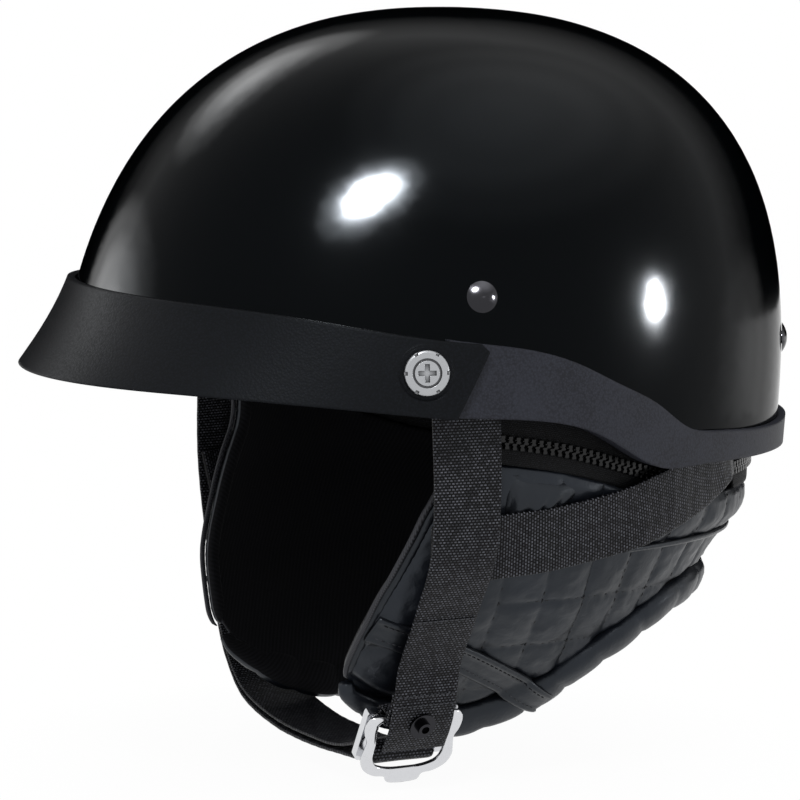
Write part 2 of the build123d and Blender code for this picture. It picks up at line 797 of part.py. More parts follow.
strap_plane = Plane.XZ.offset(-strap_station)
bar_hole_radius = ring_bar / 2 + run_gap
left_route = front_points(left_leg_shares)
loop_step = Vector(left_route[5][0] - left_route[6][0], left_route[5][1] - left_route[6][1]).normalized()
loop_aside = Vector(-loop_step.Y, loop_step.X) * (web_thickness + fit_gap)
tab_top = Vector(*left_route[5]) + loop_aside
tab_foot = Vector(*left_route[6]) + loop_aside + loop_step * (bar_hole_radius)
loop_radius = bar_hole_radius + loop_wall
pivots = [(place.X, place.Z) for place in (outer_pivot, inner_pivot)]
with BuildPart() as ring_loop:
    with BuildSketch(strap_plane):
        with Locations(*pivots):
            Circle(loop_radius)
        with BuildLine():
            Line(*pivots)
        trace(line_width=loop_radius + loop_radius)
        with BuildLine():
            Line((tab_top.X, tab_top.Y), (tab_foot.X, tab_foot.Y))
        trace(line_width=web_thickness)
        with Locations(*pivots):
            Circle(bar_hole_radius, mode=Mode.SUBTRACT)
    extrude(amount=web_width / 2, both=True)
save(ring_loop.part, "ring_loop")

# Chin strap, wrapped round the lower bar of the inner ring, with its tail under itself
wrap_radius = ring_bar / 2 + wrap_slack + web_thickness / 2
inner_plane = ring_plane(inner_pivot, inner_ring_turn)
wrap_centre = inner_plane.from_local_coords((0, inner_ring_length, 0))
load_route = front_points(chin_shares) + [(wrap_centre.X, wrap_centre.Z + wrap_radius)]
tail_drop = web_thickness + tail_gap + web_thickness / 2
tail_route = [(x, z - tail_drop) for x, z in front_points(chin_shares)[1:-1]]
tail_route.append((wrap_centre.X, wrap_centre.Z - wrap_radius))
with BuildPart() as chin_strap:
    with BuildSketch(strap_plane):
        with BuildLine():
            Spline(*load_route)
        trace(line_width=web_thickness)
        with BuildLine():
            Spline(*tail_route)
        trace(line_width=web_thickness)
        with BuildLine():
            CenterArc((wrap_centre.X, wrap_centre.Z), wrap_radius, -90, 180)
        trace(line_width=web_thickness)
    extrude(amount=web_width / 2, both=True)
save(chin_strap.part, "chin_strap")

# Snap stud on the flap of the left strap, and its cap on the far end of the tail
left_line = Spline(*[(x, strap_station, z) for x, z in left_route])
stud_place = Vector(left_route[6][0], strap_station, left_route[6][1])
stud_ahead = left_line % left_line.param_at_point(stud_place)
stud_out = Vector(-stud_ahead.Z, 0, stud_ahead.X)
stud_plane = Plane(origin=stud_place, x_dir=(0, 1, 0), z_dir=stud_out).offset(web_thickness / 2 + rest_gap)
with BuildPart() as snap_stud:
    with BuildSketch(stud_plane):
        Circle(snap_flange_radius)
    extrude(amount=snap_flange_height)
    with BuildSketch(stud_plane):
        Circle(snap_post_radius)
    extrude(amount=snap_flange_height + snap_post_height)
    with BuildSketch(stud_plane.offset(snap_flange_height + snap_post_height)):
        Circle(snap_bore_radius)
    extrude(amount=-snap_post_height, mode=Mode.SUBTRACT)
save(snap_stud.part, "snap_stud")

tail_line = Spline(*[(x, strap_station, z) for x, z in tail_route])
cap_ahead = tail_line % snap_cap_share
cap_down = Vector(cap_ahead.Z, 0, -cap_ahead.X)
cap_origin = tail_line @ snap_cap_share + cap_down * (web_thickness / 2 + rest_gap)
cap_plane = Plane(origin=cap_origin, x_dir=(0, 1, 0), z_dir=cap_down)
with BuildPart() as snap_cap:
    with BuildSketch(cap_plane):
        Circle(snap_flange_radius)
    extrude(amount=snap_post_height)
    fillet(snap_cap.faces().sort_by(Axis(cap_origin, cap_down))[-1].edges(), radius=snap_flange_height)
save(snap_cap.part, "snap_cap")

# Zip: a level arc round the back, and a curve forward along each side
zip_centre = shell_rear - zip_rear_inset - zip_radius
zip_side = [(x * shell_half_width, y * (shell_front if y < 0 else shell_rear)) for x, y in zip_side_shares]


def zip_face(outer, inner):
    """Plan face between two offsets from the outer face of the teeth."""
    middle = (outer + inner) / 2
    start = zip_arc_start
    first = (
        zip_radius * math.cos(math.radians(start)),
        zip_centre + zip_radius * math.sin(math.radians(start)),
    )
    tangent = (math.sin(math.radians(start)), -math.cos(math.radians(start)))
    base = Spline(first, *zip_side, tangents=[tangent, zip_front_share])
    moved = []
    for step in range(len(zip_side) + len(zip_side)):
        share = step / (len(zip_side) + len(zip_side) - 1)
        ahead = base % share
        place = base @ share
        moved.append((place.X - ahead.Y * middle, place.Y + ahead.X * middle))
    with BuildSketch(Plane.XY, mode=Mode.PRIVATE) as face:
        with BuildLine():
            CenterArc((0, zip_centre), zip_radius + middle, start, 180 - start - start)
            side = Spline(*moved, tangents=[tangent, zip_front_share])
            mirror(side, about=Plane.YZ)
        trace(line_width=outer - inner)
    return face.sketch


def zip_wall(outer, inner, upper, lower):
    """Zip part between two plan offsets and two offsets from its line in side view."""
    with BuildPart(mode=Mode.PRIVATE) as wall:
        extrude(zip_face(outer, inner), amount=shell_skirt, both=True)
        keep(side_band(raised(zip_line, upper), raised(zip_line, lower)))
    return wall.part


row_low = zip_row_gap / 2
row_high = row_low + zip_row_height
save(zip_wall(0, -zip_chain_wall, row_high, row_low), "zip_teeth_upper")
save(zip_wall(0, -zip_chain_wall, -row_low, -row_high), "zip_teeth_lower")
tape_face = -zip_chain_wall + zip_tape_wall
save(zip_wall(tape_face, -zip_chain_wall, row_high + zip_upper_tape_height, row_high), "zip_tape_upper")
lower_tape = zip_wall(tape_face, -zip_chain_wall, -row_high, -row_high - zip_lower_tape_height)
with BuildPart() as zip_tape_lower:
    add(lower_tape)
    tape_opening = channel_width + zip_tape_opening_gap + zip_tape_opening_gap
    carve(strip([rear_leg_outer[0], rear_leg_outer[2], rear_leg_outer[3]], tape_opening))
save(zip_tape_lower.part, "zip_tape_lower")

stop_end = zip_side[-1]
with BuildPart() as zip_stop:
    with BuildSketch(Plane.XZ.offset(-stop_end[1] + fit_gap)):
        with Locations((stop_end[0] - zip_chain_wall / 2, zip_line[0][1])):
            Rectangle(zip_chain_wall, row_high + row_high)
    extrude(amount=stop_length)
save_group([zip_stop.part], "zip_stops")


def arc_block(outer, inner, arc_length, low, high):
    """Block on the zip's arc at the slider's rest place."""
    half_turn = math.degrees(arc_length / 2 / zip_radius)
    with BuildPart(mode=Mode.PRIVATE) as block:
        with BuildSketch(Plane.XY.offset(zip_line[-1][1] + low)):
            with BuildLine():
                start = slider_rest_angle - half_turn
                CenterArc((0, zip_centre), (outer + inner) / 2, start, half_turn + half_turn)
            trace(line_width=outer - inner)
        extrude(amount=high - low)
    return block.part


plate_out = zip_radius + slider_gap
plate_in = zip_radius - zip_chain_wall - slider_gap
half_slider = slider_height / 2
half_post = slider_post_thickness / 2
pin_radius = plate_out + slider_wall + pull_pin_reach
half_eye = pull_eye_height / 2
rest_turn = math.radians(slider_rest_angle)
pin_place = (pin_radius * math.cos(rest_turn), zip_centre + pin_radius * math.sin(rest_turn))
ear_low = half_eye + rest_gap / 2
outer_plate = arc_block(plate_out + slider_wall, plate_out, slider_length, -half_slider, half_slider)
inner_plate = arc_block(plate_in, plate_in - slider_wall, slider_length, -half_slider, half_slider)
post_out = plate_out + slider_wall / 2
post_in = plate_in - slider_wall / 2
slider_post = arc_block(post_out, post_in, slider_post_length, -half_post, half_post)
ears = [
    arc_block(pin_radius + ear_length / 2, plate_out + slider_wall / 2, ear_length, low, low + ear_thickness)
    for low in (ear_low, -ear_low - ear_thickness)
]
with BuildPart() as zip_slider:
    add([outer_plate, inner_plate, slider_post, *ears])
    with BuildSketch(Plane.XY.offset(zip_line[-1][1] - ear_low - ear_thickness / 2)):
        with Locations(pin_place):
            Circle(pull_pin_radius)
    extrude(amount=ear_low + ear_low + ear_thickness)
save(zip_slider.part, "zip_slider")

pull_step = Vector(math.sin(rest_turn), -math.cos(rest_turn))
pull_plane = Plane(
    origin=(pin_place[0], pin_place[1], zip_line[-1][1]), x_dir=(pull_step.X, pull_step.Y, 0), z_dir=(0, 0, 1)
)
eye_radius = pull_pin_radius + run_gap + pull_thickness / 2
with BuildPart() as zip_pull:
    with BuildSketch(pull_plane.offset(-half_eye)):
        Circle(eye_radius)
        with Locations((pull_neck / 2, 0)):
            Rectangle(pull_neck, pull_thickness)
    extrude(amount=pull_eye_height)
    with BuildSketch(pull_plane.offset(-pull_width / 2)):
        with Locations((pull_length / 2 + pull_neck / 2, 0)):
            Rectangle(pull_length - pull_neck, pull_thickness)
    extrude(amount=pull_width)
    with BuildSketch(pull_plane.offset(-half_eye)):
        Circle(pull_pin_radius + run_gap)
    extrude(amount=pull_eye_height, mode=Mode.SUBTRACT)
save(zip_pull.part, "zip_pull")

# Ear covers and neck curtain, one wall cut by a side view outline
cover_front = side_points(cover_front_shares)
cover_bottom = side_points(cover_bottom_shares)
with BuildSketch(Plane.YZ) as cover_outline:
    with BuildLine():
        front_edge = Spline(*cover_front)
        low_edge = Spline(*cover_bottom)
        far_edge = Line(low_edge @ 1, (rear_end, cover_front[0][1]))
        Line(far_edge @ 1, front_edge @ 0)
    make_face()
top_cut = side_band(sky, raised(zip_line, -cover_top_drop))
top_cut = top_cut & side_box(cover_step, rear_end, -shell_height, shell_height + side_reach)
plain_face = cover_outline.sketch
whole_face = plain_face - top_cut
behind_face = plain_face.moved(Location((0, binding_width, 0)))
above_face = plain_face.moved(Location((0, 0, hem_height)))
main_face = whole_face & behind_face & above_face
hem_box = side_box(cover_front[-1][0] - cover_wall, rear_end, -shell_height, cover_front[3][1])
hem_face = (whole_face - above_face) & hem_box
binding_face = (whole_face & above_face) - behind_face
seam = seam_share * shell_rear
ear_box = side_box(cover_front[-1][0] - cover_wall, seam - seam_gap / 2, -shell_height, shell_height)
curtain_box = side_box(seam + seam_gap / 2, rear_end, -shell_height, shell_height)
lining_face = -cover_wall - lining_gap
wrap_inner = lining_face - lining_wall
wall_layer = layer(cover_body, 0, -cover_wall)
lining_layer = layer(cover_body, lining_face, wrap_inner)
hem_layer = layer(cover_body, hem_swell, wrap_inner - hem_swell)
binding_layer = layer(cover_body, binding_swell, wrap_inner - binding_swell)
band_layer = layer(cover_body, hem_swell + band_wall, hem_swell)
pocket_layer = layer(cover_body, lining_gap + pocket_wall, lining_gap)

for name, body in (("ear_cover", wall_layer), ("ear_lining", lining_layer)):
    with BuildPart() as ear:
        add(body)
        keep(main_face)
        keep(ear_box)
        keep_left()
    save_pair(ear.part, name)

for name, body in (("neck_curtain", wall_layer), ("neck_lining", lining_layer)):
    with BuildPart() as neck:
        add(body)
        keep(main_face)
        keep(curtain_box)
    save(neck.part, name)

with BuildPart() as cover_hem:
    add(hem_layer)
    keep(hem_face)
save(cover_hem.part, "cover_hem")

with BuildPart() as binding:
    add(binding_layer)
    keep(binding_face)
    keep_left()
save_pair(binding.part, "binding")

with BuildPart() as cover_band:
    add(band_layer)
    keep(strip(side_points(band_line_shares), band_width))
    keep(whole_face)
    keep_left()
save_pair(cover_band.part, "cover_band")

pocket_points = side_points(pocket_shares)
with BuildSketch(Plane.YZ) as pocket_outline:
    Polygon(*pocket_points, align=None)
with BuildPart() as pocket_flap:
    add(pocket_layer)
    keep(pocket_outline.sketch)
    carve(strip(rear_leg_outer + [(y, z) for x, y, z in rear_ends], channel_width))
    keep_left()
save_pair(pocket_flap.part, "pocket_flap")
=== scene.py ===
import bmesh
import bpy
import math
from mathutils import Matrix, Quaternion, Vector, noise


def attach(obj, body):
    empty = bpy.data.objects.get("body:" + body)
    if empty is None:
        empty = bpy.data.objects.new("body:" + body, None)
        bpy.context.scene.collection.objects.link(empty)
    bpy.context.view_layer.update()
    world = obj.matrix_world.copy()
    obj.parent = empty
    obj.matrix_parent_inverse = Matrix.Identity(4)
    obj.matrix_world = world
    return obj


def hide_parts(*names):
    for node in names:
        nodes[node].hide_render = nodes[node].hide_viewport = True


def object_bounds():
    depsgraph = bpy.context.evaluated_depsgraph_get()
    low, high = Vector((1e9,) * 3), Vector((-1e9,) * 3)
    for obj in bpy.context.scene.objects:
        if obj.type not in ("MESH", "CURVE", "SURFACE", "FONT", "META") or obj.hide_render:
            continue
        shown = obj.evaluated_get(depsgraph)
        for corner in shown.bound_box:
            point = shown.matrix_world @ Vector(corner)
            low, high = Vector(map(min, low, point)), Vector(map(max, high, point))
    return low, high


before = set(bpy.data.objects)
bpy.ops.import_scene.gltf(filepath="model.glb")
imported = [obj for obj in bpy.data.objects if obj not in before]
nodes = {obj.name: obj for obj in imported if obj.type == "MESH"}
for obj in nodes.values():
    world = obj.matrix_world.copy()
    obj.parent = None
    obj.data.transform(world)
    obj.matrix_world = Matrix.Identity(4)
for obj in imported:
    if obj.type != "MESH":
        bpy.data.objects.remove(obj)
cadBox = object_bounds()
scene = bpy.context.scene
sides = (("Left", "left", 1), ("Right", "right", -1))
print("frame loaded")


# Small helpers

def mm(value):
    return value / 1000


def ease(value):  # smooth step from 0 to 1
    t = max(0.0, min(1.0, value))
    return t * t * (3 - 2 * t)


def hump(value):  # 0 at whole numbers, 1 half way, with steep feet like a stuffed square
    return abs(math.sin(math.pi * value)) ** 0.42


def circle(count):
    angles = [2 * math.pi * k / count for k in range(count)]
    return [(math.cos(angle), math.sin(angle)) for angle in angles]


def softSection(count, wide, tall, power=0.75):  # cross-section of a rolled edge, between ellipse and box
    return [(wide / 2 * math.copysign(abs(c) ** power, c), tall / 2 * math.copysign(abs(s) ** power, s))
            for c, s in circle(count)]


def onSide(sign, spot):  # sign is 1 for the wearer's left, -1 for the right
    return Vector((sign * spot.x, spot.y, spot.z))


def splinePoint(a, b, c, d, t):
    return 0.5 * (2 * b + (c - a) * t + (2 * a - 5 * b + 4 * c - d) * t * t + (3 * b - a - 3 * c + d) * t ** 3)


def smoothLine(points, gap, steps=16):  # a curve through the points, cut into even steps
    pts = [Vector(p) for p in points]
    pts = [2 * pts[0] - pts[1]] + pts + [2 * pts[-1] - pts[-2]]
    dense = [splinePoint(*four, step / steps) for four in zip(pts, pts[1:], pts[2:], pts[3:]) for step in range(steps)]
    dense.append(pts[-2])
    run = [0.0]
    for a, b in zip(dense, dense[1:]):
        run.append(run[-1] + (b - a).length)
    count = max(2, round(run[-1] / gap))
    line, at = [], 0
    for step in range(count + 1):
        goal = run[-1] * step / count
        while at < len(run) - 2 and run[at + 1] < goal:
            at += 1
        share = (goal - run[at]) / max(run[at + 1] - run[at], 1e-9)
        line.append(dense[at].lerp(dense[at + 1], min(1, share)))
    return line


def heading(path, k):
    return (path[min(k + 1, len(path) - 1)] - path[max(k - 1, 0)]).normalized()


def heightAt(line, y):  # height of a side view line at one place along the helmet
    for a, b in zip(line, line[1:]):
        if a.x <= y <= b.x:
            return a.y + (b.y - a.y) * (y - a.x) / max(b.x - a.x, 1e-9)
    return line[0].y if y < line[0].x else line[-1].y


def addObject(name, data):
    made = bpy.data.objects.new(name, data)
    scene.collection.objects.link(made)
    return made


# Meshes: each rides on a body, and one given a node's name hides that node and stands in its place

def makeMesh(name, points, faces, uvs, material, body="helmet", node=None):
    data = bpy.data.meshes.new(name)
    data.from_pydata([tuple(p) for p in points], [], faces)
    if uvs:
        layer = data.uv_layers.new(name="UVMap")
        for loop in data.loops:
            layer.data[loop.index].uv = uvs[loop.vertex_index]
    data.polygons.foreach_set("use_smooth", [True] * len(data.polygons))
    data.materials.append(material)
    outward = bmesh.new()
    outward.from_mesh(data)
    bmesh.ops.recalc_face_normals(outward, faces=outward.faces)
    outward.to_mesh(data)
    outward.free()
    made = addObject(name, data)
    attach(made, body)
    if node:
        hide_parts(node)
    return made


def gridFaces(rows, columns, around=False, start=0):
    faces = []
    for i in range(rows - 1):
        for j in range(columns if around else columns - 1):
            k = (j + 1) % columns
            faces.append((start + i * columns + j, start + i * columns + k,
                          start + (i + 1) * columns + k, start + (i + 1) * columns + j))
    return faces


def tubeFaces(rows, columns, start=0):  # sides, then both ends
    last = start + (rows - 1) * columns
    ends = [tuple(range(start, start + columns))[::-1], tuple(range(last, last + columns))]
    return gridFaces(rows, columns, around=True, start=start) + ends


def tubeMesh(name, rings, uvs, material, closed=False, lined=None, **more):  # rings of points, one after another
    columns = len(rings[0])
    if not isinstance(uvs, list):  # only the distance from ring to ring is given
        uvs = [[(k * uvs, n) for n in range(columns)] for k in range(len(rings))]
    points = [p for ring in rings for p in ring]
    flat = [uv for ring in uvs for uv in ring]
    faces = tubeFaces(len(rings), columns)
    if closed:
        last = (len(rings) - 1) * columns
        faces[-2:] = [(last + j, last + (j + 1) % columns, (j + 1) % columns, j) for j in range(columns)]
    made = makeMesh(name, points, faces, flat, material, **more)
    if lined:  # the inner faces take another cloth: (material, first column, last column)
        made.data.materials.append(lined[0])
        for face in made.data.polygons:
            if lined[1] <= face.index % columns <= lined[2]:
                face.material_index = 1
    return made


def sheetMesh(name, front, back, uvs, material, **more):  # two grids of points joined at their edges
    rows, columns = len(front), len(front[0])
    points = [p for row in front for p in row] + [p for row in back for p in row]
    flat = [uv for row in uvs for uv in row] * 2
    half = rows * columns
    faces = gridFaces(rows, columns) + [f[::-1] for f in gridFaces(rows, columns, start=half)]
    rim = list(range(columns))
    rim += [i * columns + columns - 1 for i in range(1, rows)]
    rim += [(rows - 1) * columns + j for j in range(columns - 2, -1, -1)]
    rim += [i * columns for i in range(rows - 2, 0, -1)]
    for a, b in zip(rim, rim[1:] + rim[:1]):
        faces.append((b, a, a + half, b + half))
    return makeMesh(name, points, faces, flat, material, **more)


def grids(rows, columns, cell, *facts):  # a grid for each of the things that cell(row, column, facts) gives
    table = [[cell(j, i, *facts) for i in range(columns + 1)] for j in range(rows + 1)]
    return [[[things[n] for things in row] for row in table] for n in range(len(table[0][0]))]


# Shader helpers

def toLinear(hexColour):  # sRGB hex to the linear colour that shaders take
    channels = [int(hexColour[i:i + 2], 16) / 255 for i in (1, 3, 5)]
    return [c / 12.92 if c <= 0.04045 else ((c + 0.055) / 1.055) ** 2.4 for c in channels] + [1]


def addNode(tree, kind, inputs=None, **settings):
    made = tree.nodes.new("ShaderNode" + kind)
    for key, value in settings.items():
        setattr(made, key, value)
    for key, value in (inputs or {}).items():
        if isinstance(value, bpy.types.NodeSocket):
            tree.links.new(value, made.inputs[key])
        else:
            made.inputs[key].default_value = value
    return made


def place(tree, output="Object"):
    return addNode(tree, "TexCoord").outputs[output]


def cloud(tree, size, **inputs):
    return addNode(tree, "TexNoise", {"Vector": place(tree), "Scale": 1 / size, **inputs}).outputs["Fac"]


def cells(tree, size):
    return addNode(tree, "TexVoronoi", {"Vector": place(tree), "Scale": 1 / size}).outputs["Distance"]


def spread(tree, value, low, high, **inputs):
    return addNode(tree, "MapRange", {"Value": value, "To Min": low, "To Max": high, **inputs}).outputs["Result"]


def maths(tree, operation, a, b):
    return addNode(tree, "Math", {0: a, 1: b}, operation=operation).outputs["Value"]


def ramp(tree, factor, low, high, lowAt=0.0, highAt=1.0):  # a two-colour ramp
    made = addNode(tree, "ValToRGB", {"Fac": factor})
    for element, colour, at in zip(made.color_ramp.elements, (low, high), (lowAt, highAt)):
        element.position = at
        element.color = toLinear(colour)
    return made.outputs["Color"]


def relief(tree, height, strength, distance, under=None, invert=False):
    inputs = {"Height": height, "Strength": strength, "Distance": distance}
    if under:
        inputs["Normal"] = under
    return addNode(tree, "Bump", inputs, invert=invert).outputs["Normal"]


def softEdge(tree, radius):  # normals rounded over at each edge, as a mould leaves them
    return addNode(tree, "Bevel", {"Radius": radius}, samples=4).outputs["Normal"]


def newMaterial(name, colour, roughness, metallic=0.0, **sockets):
    made = bpy.data.materials.new(name)
    made.use_nodes = True
    shader = made.node_tree.nodes["Principled BSDF"]
    shader.inputs["Base Color"].default_value = toLinear(colour)
    shader.inputs["Roughness"].default_value = roughness
    shader.inputs["Metallic"].default_value = metallic
    for key, value in sockets.items():
        shader.inputs[key.replace("_", " ")].default_value = value
    return made, made.node_tree, shader


def dress(tree, shader, **sockets):
    for key, value in sockets.items():
        tree.links.new(value, shader.inputs[key.replace("_", " ")])


def mixShaders(tree, output, factor, first, second):
    both = addNode(tree, "MixShader", {"Fac": factor, 1: first.outputs[0], 2: second.outputs[0]})
    tree.links.new(both.outputs[0], tree.nodes[output].inputs["Surface"])


def seenRays(tree):  # 1 for rays from the camera, from gloss and through glass
    rays = addNode(tree, "LightPath").outputs
    direct = maths(tree, "MAXIMUM", rays["Is Camera Ray"], rays["Is Glossy Ray"])
    return maths(tree, "MAXIMUM", direct, rays["Is Transmission Ray"])


# Materials

detail = {
    "moldGrain": mm(0.9),      # peak's spark grain, really 0.3 mm, drawn coarser so that it shows
    "trimGrain": mm(0.8),
    "grainDepth": mm(0.12), "mouldEdge": mm(1.2),
    "leatherCell": mm(1.6),    # lambskin grain
    "yarnAcross": 1.4,         # webbing yarn in mm, really nearer 1 mm, drawn coarser so that it shows
    "yarnAlong": 1.05,
    "twillPitch": 1.1, "twillRow": 0.7,
    "foamBead": mm(4.0),
    "liningRib": 1.5,          # in mm of the cloth, really 0.8 mm, drawn coarser
}
coolSheen = (0.82, 0.9, 1, 1)

# Sprayed black lacquer under clear coat: deep black with sharp, weak reflections
lacquer, tree, shader = newMaterial("sprayedBlackLacquer", "#020304", 0.1, Specular_IOR_Level=0.055,
                                    Specular_Tint=(0.84, 0.92, 1.0, 1.0))
dress(tree, shader, Roughness=spread(tree, cloud(tree, mm(40), Detail=1.0), 0.09, 0.12))

# Moulded ABS with a spark grain: satin, each grain throws its own speck of light from its gloss and bump, and a painted
# highlight speck lightens the colour in the middle of each grain
peakPlastic, tree, shader = newMaterial("sparkGrainAbs", "#141518", 0.42, Specular_IOR_Level=0.13,
                                        Specular_Tint=coolSheen)
grain = cells(tree, detail["moldGrain"])
# Painted highlight: the colour ramp lightens the middle of every grain as its speck of light
dress(tree, shader, Base_Color=ramp(tree, grain, "#101115", "#050506", 0.05, 0.6),
      Roughness=spread(tree, grain, 0.3, 0.46),
      Normal=relief(tree, grain, 0.35, detail["grainDepth"], softEdge(tree, detail["mouldEdge"])))

# Moulded rubber with a fine leather grain: dark grey, soft sheen, slightly dusty on raised spots
trimRubber, tree, shader = newMaterial("grainedRubber", "#1c1e24", 0.5, Specular_IOR_Level=0.22)
grain = cells(tree, detail["trimGrain"])
dusty = maths(tree, "MULTIPLY", grain, cloud(tree, mm(18), Detail=4.0))
dress(tree, shader, Base_Color=ramp(tree, dusty, "#30323b", "#1c1d24", 0.0, 0.45),
      Normal=relief(tree, grain, 0.4, detail["grainDepth"], softEdge(tree, detail["mouldEdge"])))

# Brushed aluminium: fine lines turned on a lathe, bright with grey bands, and painted shade darkens the colour in the
# hollows
brushedAluminium, tree, shader = newMaterial("brushedAluminium", "#c9cacc", 0.3, metallic=1.0)
lines = cloud(tree, mm(0.4), Detail=1.0)
# Painted shade: an occlusion mask darkens the colour in the cross recess and slots
paintedRecessShade = addNode(tree, "AmbientOcclusion", {"Distance": mm(1.6)}, only_local=True, samples=8).outputs["AO"]
dress(tree, shader, Base_Color=ramp(tree, maths(tree, "POWER", paintedRecessShade, 2.2), "#1c1c1e", "#aeb0b3", 0.0, 0.9),
      Roughness=spread(tree, lines, 0.24, 0.32), Normal=relief(tree, lines, 0.1, mm(0.05), softEdge(tree, mm(0.35))))

# Zinc plated steel: dull bright grey with a faint spangle
zincSteel, tree, shader = newMaterial("zincPlatedSteel", "#a7a9ab", 0.42, metallic=1.0)
dress(tree, shader, Base_Color=ramp(tree, cells(tree, mm(2.5)), "#b9bbbd", "#8d8f92", 0.0, 0.8))

# Black nickel on the rivet and snap: dark mirror with faint handling haze
blackNickel, tree, shader = newMaterial("blackNickelPlate", "#333336", 0.12, metallic=1.0)
dress(tree, shader, Roughness=spread(tree, cloud(tree, mm(3), Detail=4.0), 0.06, 0.22))

# Chromed steel wire and plate: mirror bright, with small scuffs from the webbing
chromedSteel, tree, shader = newMaterial("chromedSteel", "#d4d5d8", 0.08, metallic=1.0)
scuff = cloud(tree, mm(2), Detail=6.0, Roughness=0.7)
dress(tree, shader, Roughness=spread(tree, scuff, 0.05, 0.26, **{"From Min": 0.4, "From Max": 0.7}))

# Moulded acetal teeth: glossy black plastic that glints on each edge
acetal, tree, shader = newMaterial("mouldedAcetal", "#0a0a0c", 0.22, Specular_IOR_Level=0.3)
dress(tree, shader, Roughness=spread(tree, cloud(tree, mm(1.2), Detail=2.0), 0.16, 0.3))

# Expanded polystyrene sprayed black: pressed beads with dark seams
beadFoam, tree, shader = newMaterial("beadFoam", "#141516", 0.8, Specular_IOR_Level=0.15)
beads = cells(tree, detail["foamBead"])
dress(tree, shader, Base_Color=ramp(tree, beads, "#18191b", "#08080a", 0.3, 0.75),
      Normal=relief(tree, beads, 0.5, mm(0.5), invert=True))


def webbingMaterial(name, light, dark, across, along, roughness, strength):
    # Woven nylon: yarns lie as short bricks, half a yarn over in each row; each brick is painted a random tone between
    # the yarn colour and a fifth of it, and the bright ones are painted highlight flecks
    made, tree, shader = newMaterial(name, light, roughness, Specular_IOR_Level=0.14)
    weaveWithPaintedFlecks = addNode(tree, "TexBrick", {
        "Vector": place(tree, "UV"), "Scale": 1.0, "Mortar Size": 0.3 * along, "Mortar Smooth": 0.5,
        "Brick Width": across, "Row Height": along, "Color1": toLinear(light),
        "Color2": [c * 0.22 for c in toLinear(light)[:3]] + [1], "Mortar": toLinear(dark)}, offset=0.5)
    # Painted highlight: the light bricks' colour stands in for the fleck of light on each yarn
    dress(tree, shader, Base_Color=weaveWithPaintedFlecks.outputs["Color"],
          Normal=relief(tree, weaveWithPaintedFlecks.outputs["Fac"], strength, mm(0.55), invert=True))
    return made


def threadMaterial(name, dark, light):
    # Bonded nylon thread: twisted plies, a little brighter or darker than what they sew
    made, tree, shader = newMaterial(name, light, 0.45, Specular_IOR_Level=0.25)
    twist = addNode(tree, "TexWave", {"Vector": place(tree), "Scale": 1 / mm(1.2), "Distortion": 1.0})
    dress(tree, shader, Base_Color=ramp(tree, twist.outputs["Fac"], dark, light))
    return made


def leatherMaterial(name, base, worn, roughness):
    # Tanned lambskin: cool black with a blue grey bloom, soft sheen, cells and fine creases
    made, tree, shader = newMaterial(name, base, roughness, Specular_IOR_Level=0.4, Specular_Tint=coolSheen)
    creases = cloud(tree, mm(7), Detail=7.0, Distortion=0.6)
    fine = relief(tree, cells(tree, detail["leatherCell"]), 0.22, mm(0.15))
    dress(tree, shader, Base_Color=ramp(tree, cloud(tree, mm(30), Detail=3.0), base, worn, 0.35, 0.7),
          Roughness=spread(tree, creases, roughness - 0.1, roughness + 0.12),
          Normal=relief(tree, creases, 0.45, mm(0.8), fine))
    return made


# The light colour is the yarn tone, which also carries the painted highlight flecks
nylonWebbing = webbingMaterial("nylonWebbing", "#66676e", "#010102", detail["yarnAcross"], detail["yarnAlong"],
                               0.4, 1.0)
zipTwill = webbingMaterial("polyesterTwill", "#1e1f22", "#050506", detail["twillPitch"], detail["twillRow"], 0.6, 0.6)
thread = threadMaterial("bondedThread", "#1a1a1d", "#45464b")
quiltThread = threadMaterial("quiltingThread", "#060608", "#15161a")
coverLeather = leatherMaterial("lambskin", "#0b0d12", "#14171e", 0.37)
edgeLeather = leatherMaterial("foldedLambskin", "#0b0c10", "#121419", 0.33)

# Brushed tricot lining: matt black with fine slanting ribs
tricot, tree, shader = newMaterial("brushedTricot", "#151517", 0.85, Specular_IOR_Level=0.1, Sheen_Weight=0.04,
                                   Sheen_Roughness=0.5)
turned = addNode(tree, "Mapping", {"Vector": place(tree, "UV"), "Rotation": (0, 0, 0.5)})
ribs = addNode(tree, "TexWave", {"Vector": turned.outputs["Vector"], "Scale": 0.314 / detail["liningRib"],
                                 "Distortion": 0.4, "Detail": 1.0}).outputs["Fac"]
dress(tree, shader, Base_Color=ramp(tree, ribs, "#101012", "#1b1b1e"), Normal=relief(tree, ribs, 0.25, mm(0.15)))
print("materials made")

kept = {
    "outer_shell": lacquer, "eps_liner": beadFoam, "edge_trim": trimRubber, "peak": peakPlastic,
    "peak_screws": brushedAluminium, "peak_washers": trimRubber, "peak_nuts": zincSteel,
    "strap_rivets": blackNickel, "rivet_washers": zincSteel, "d_ring_outer": chromedSteel,
    "d_ring_inner": chromedSteel, "snap_stud": blackNickel, "snap_cap": blackNickel,
    "zip_stops": acetal, "zip_slider": blackNickel, "zip_pull": blackNickel,
}
for name, material in kept.items():
    for slot in nodes[name].material_slots:
        slot.material = material


# The shell's own shape, so that straps and pads can follow it
shell = {"halfWidth": mm(112), "front": mm(129), "rear": mm(151), "height": mm(170),
         "lean": 0.10, "upright": 2.9, "round": 2.3}


def reachAt(forward, out=0.0):
    return (shell["front"] if forward else shell["rear"]) + out


def side(points):  # side view points given as shares of the shell's reach and height
    return [(y * reachAt(y < 0), z * shell["height"]) for y, z in points]


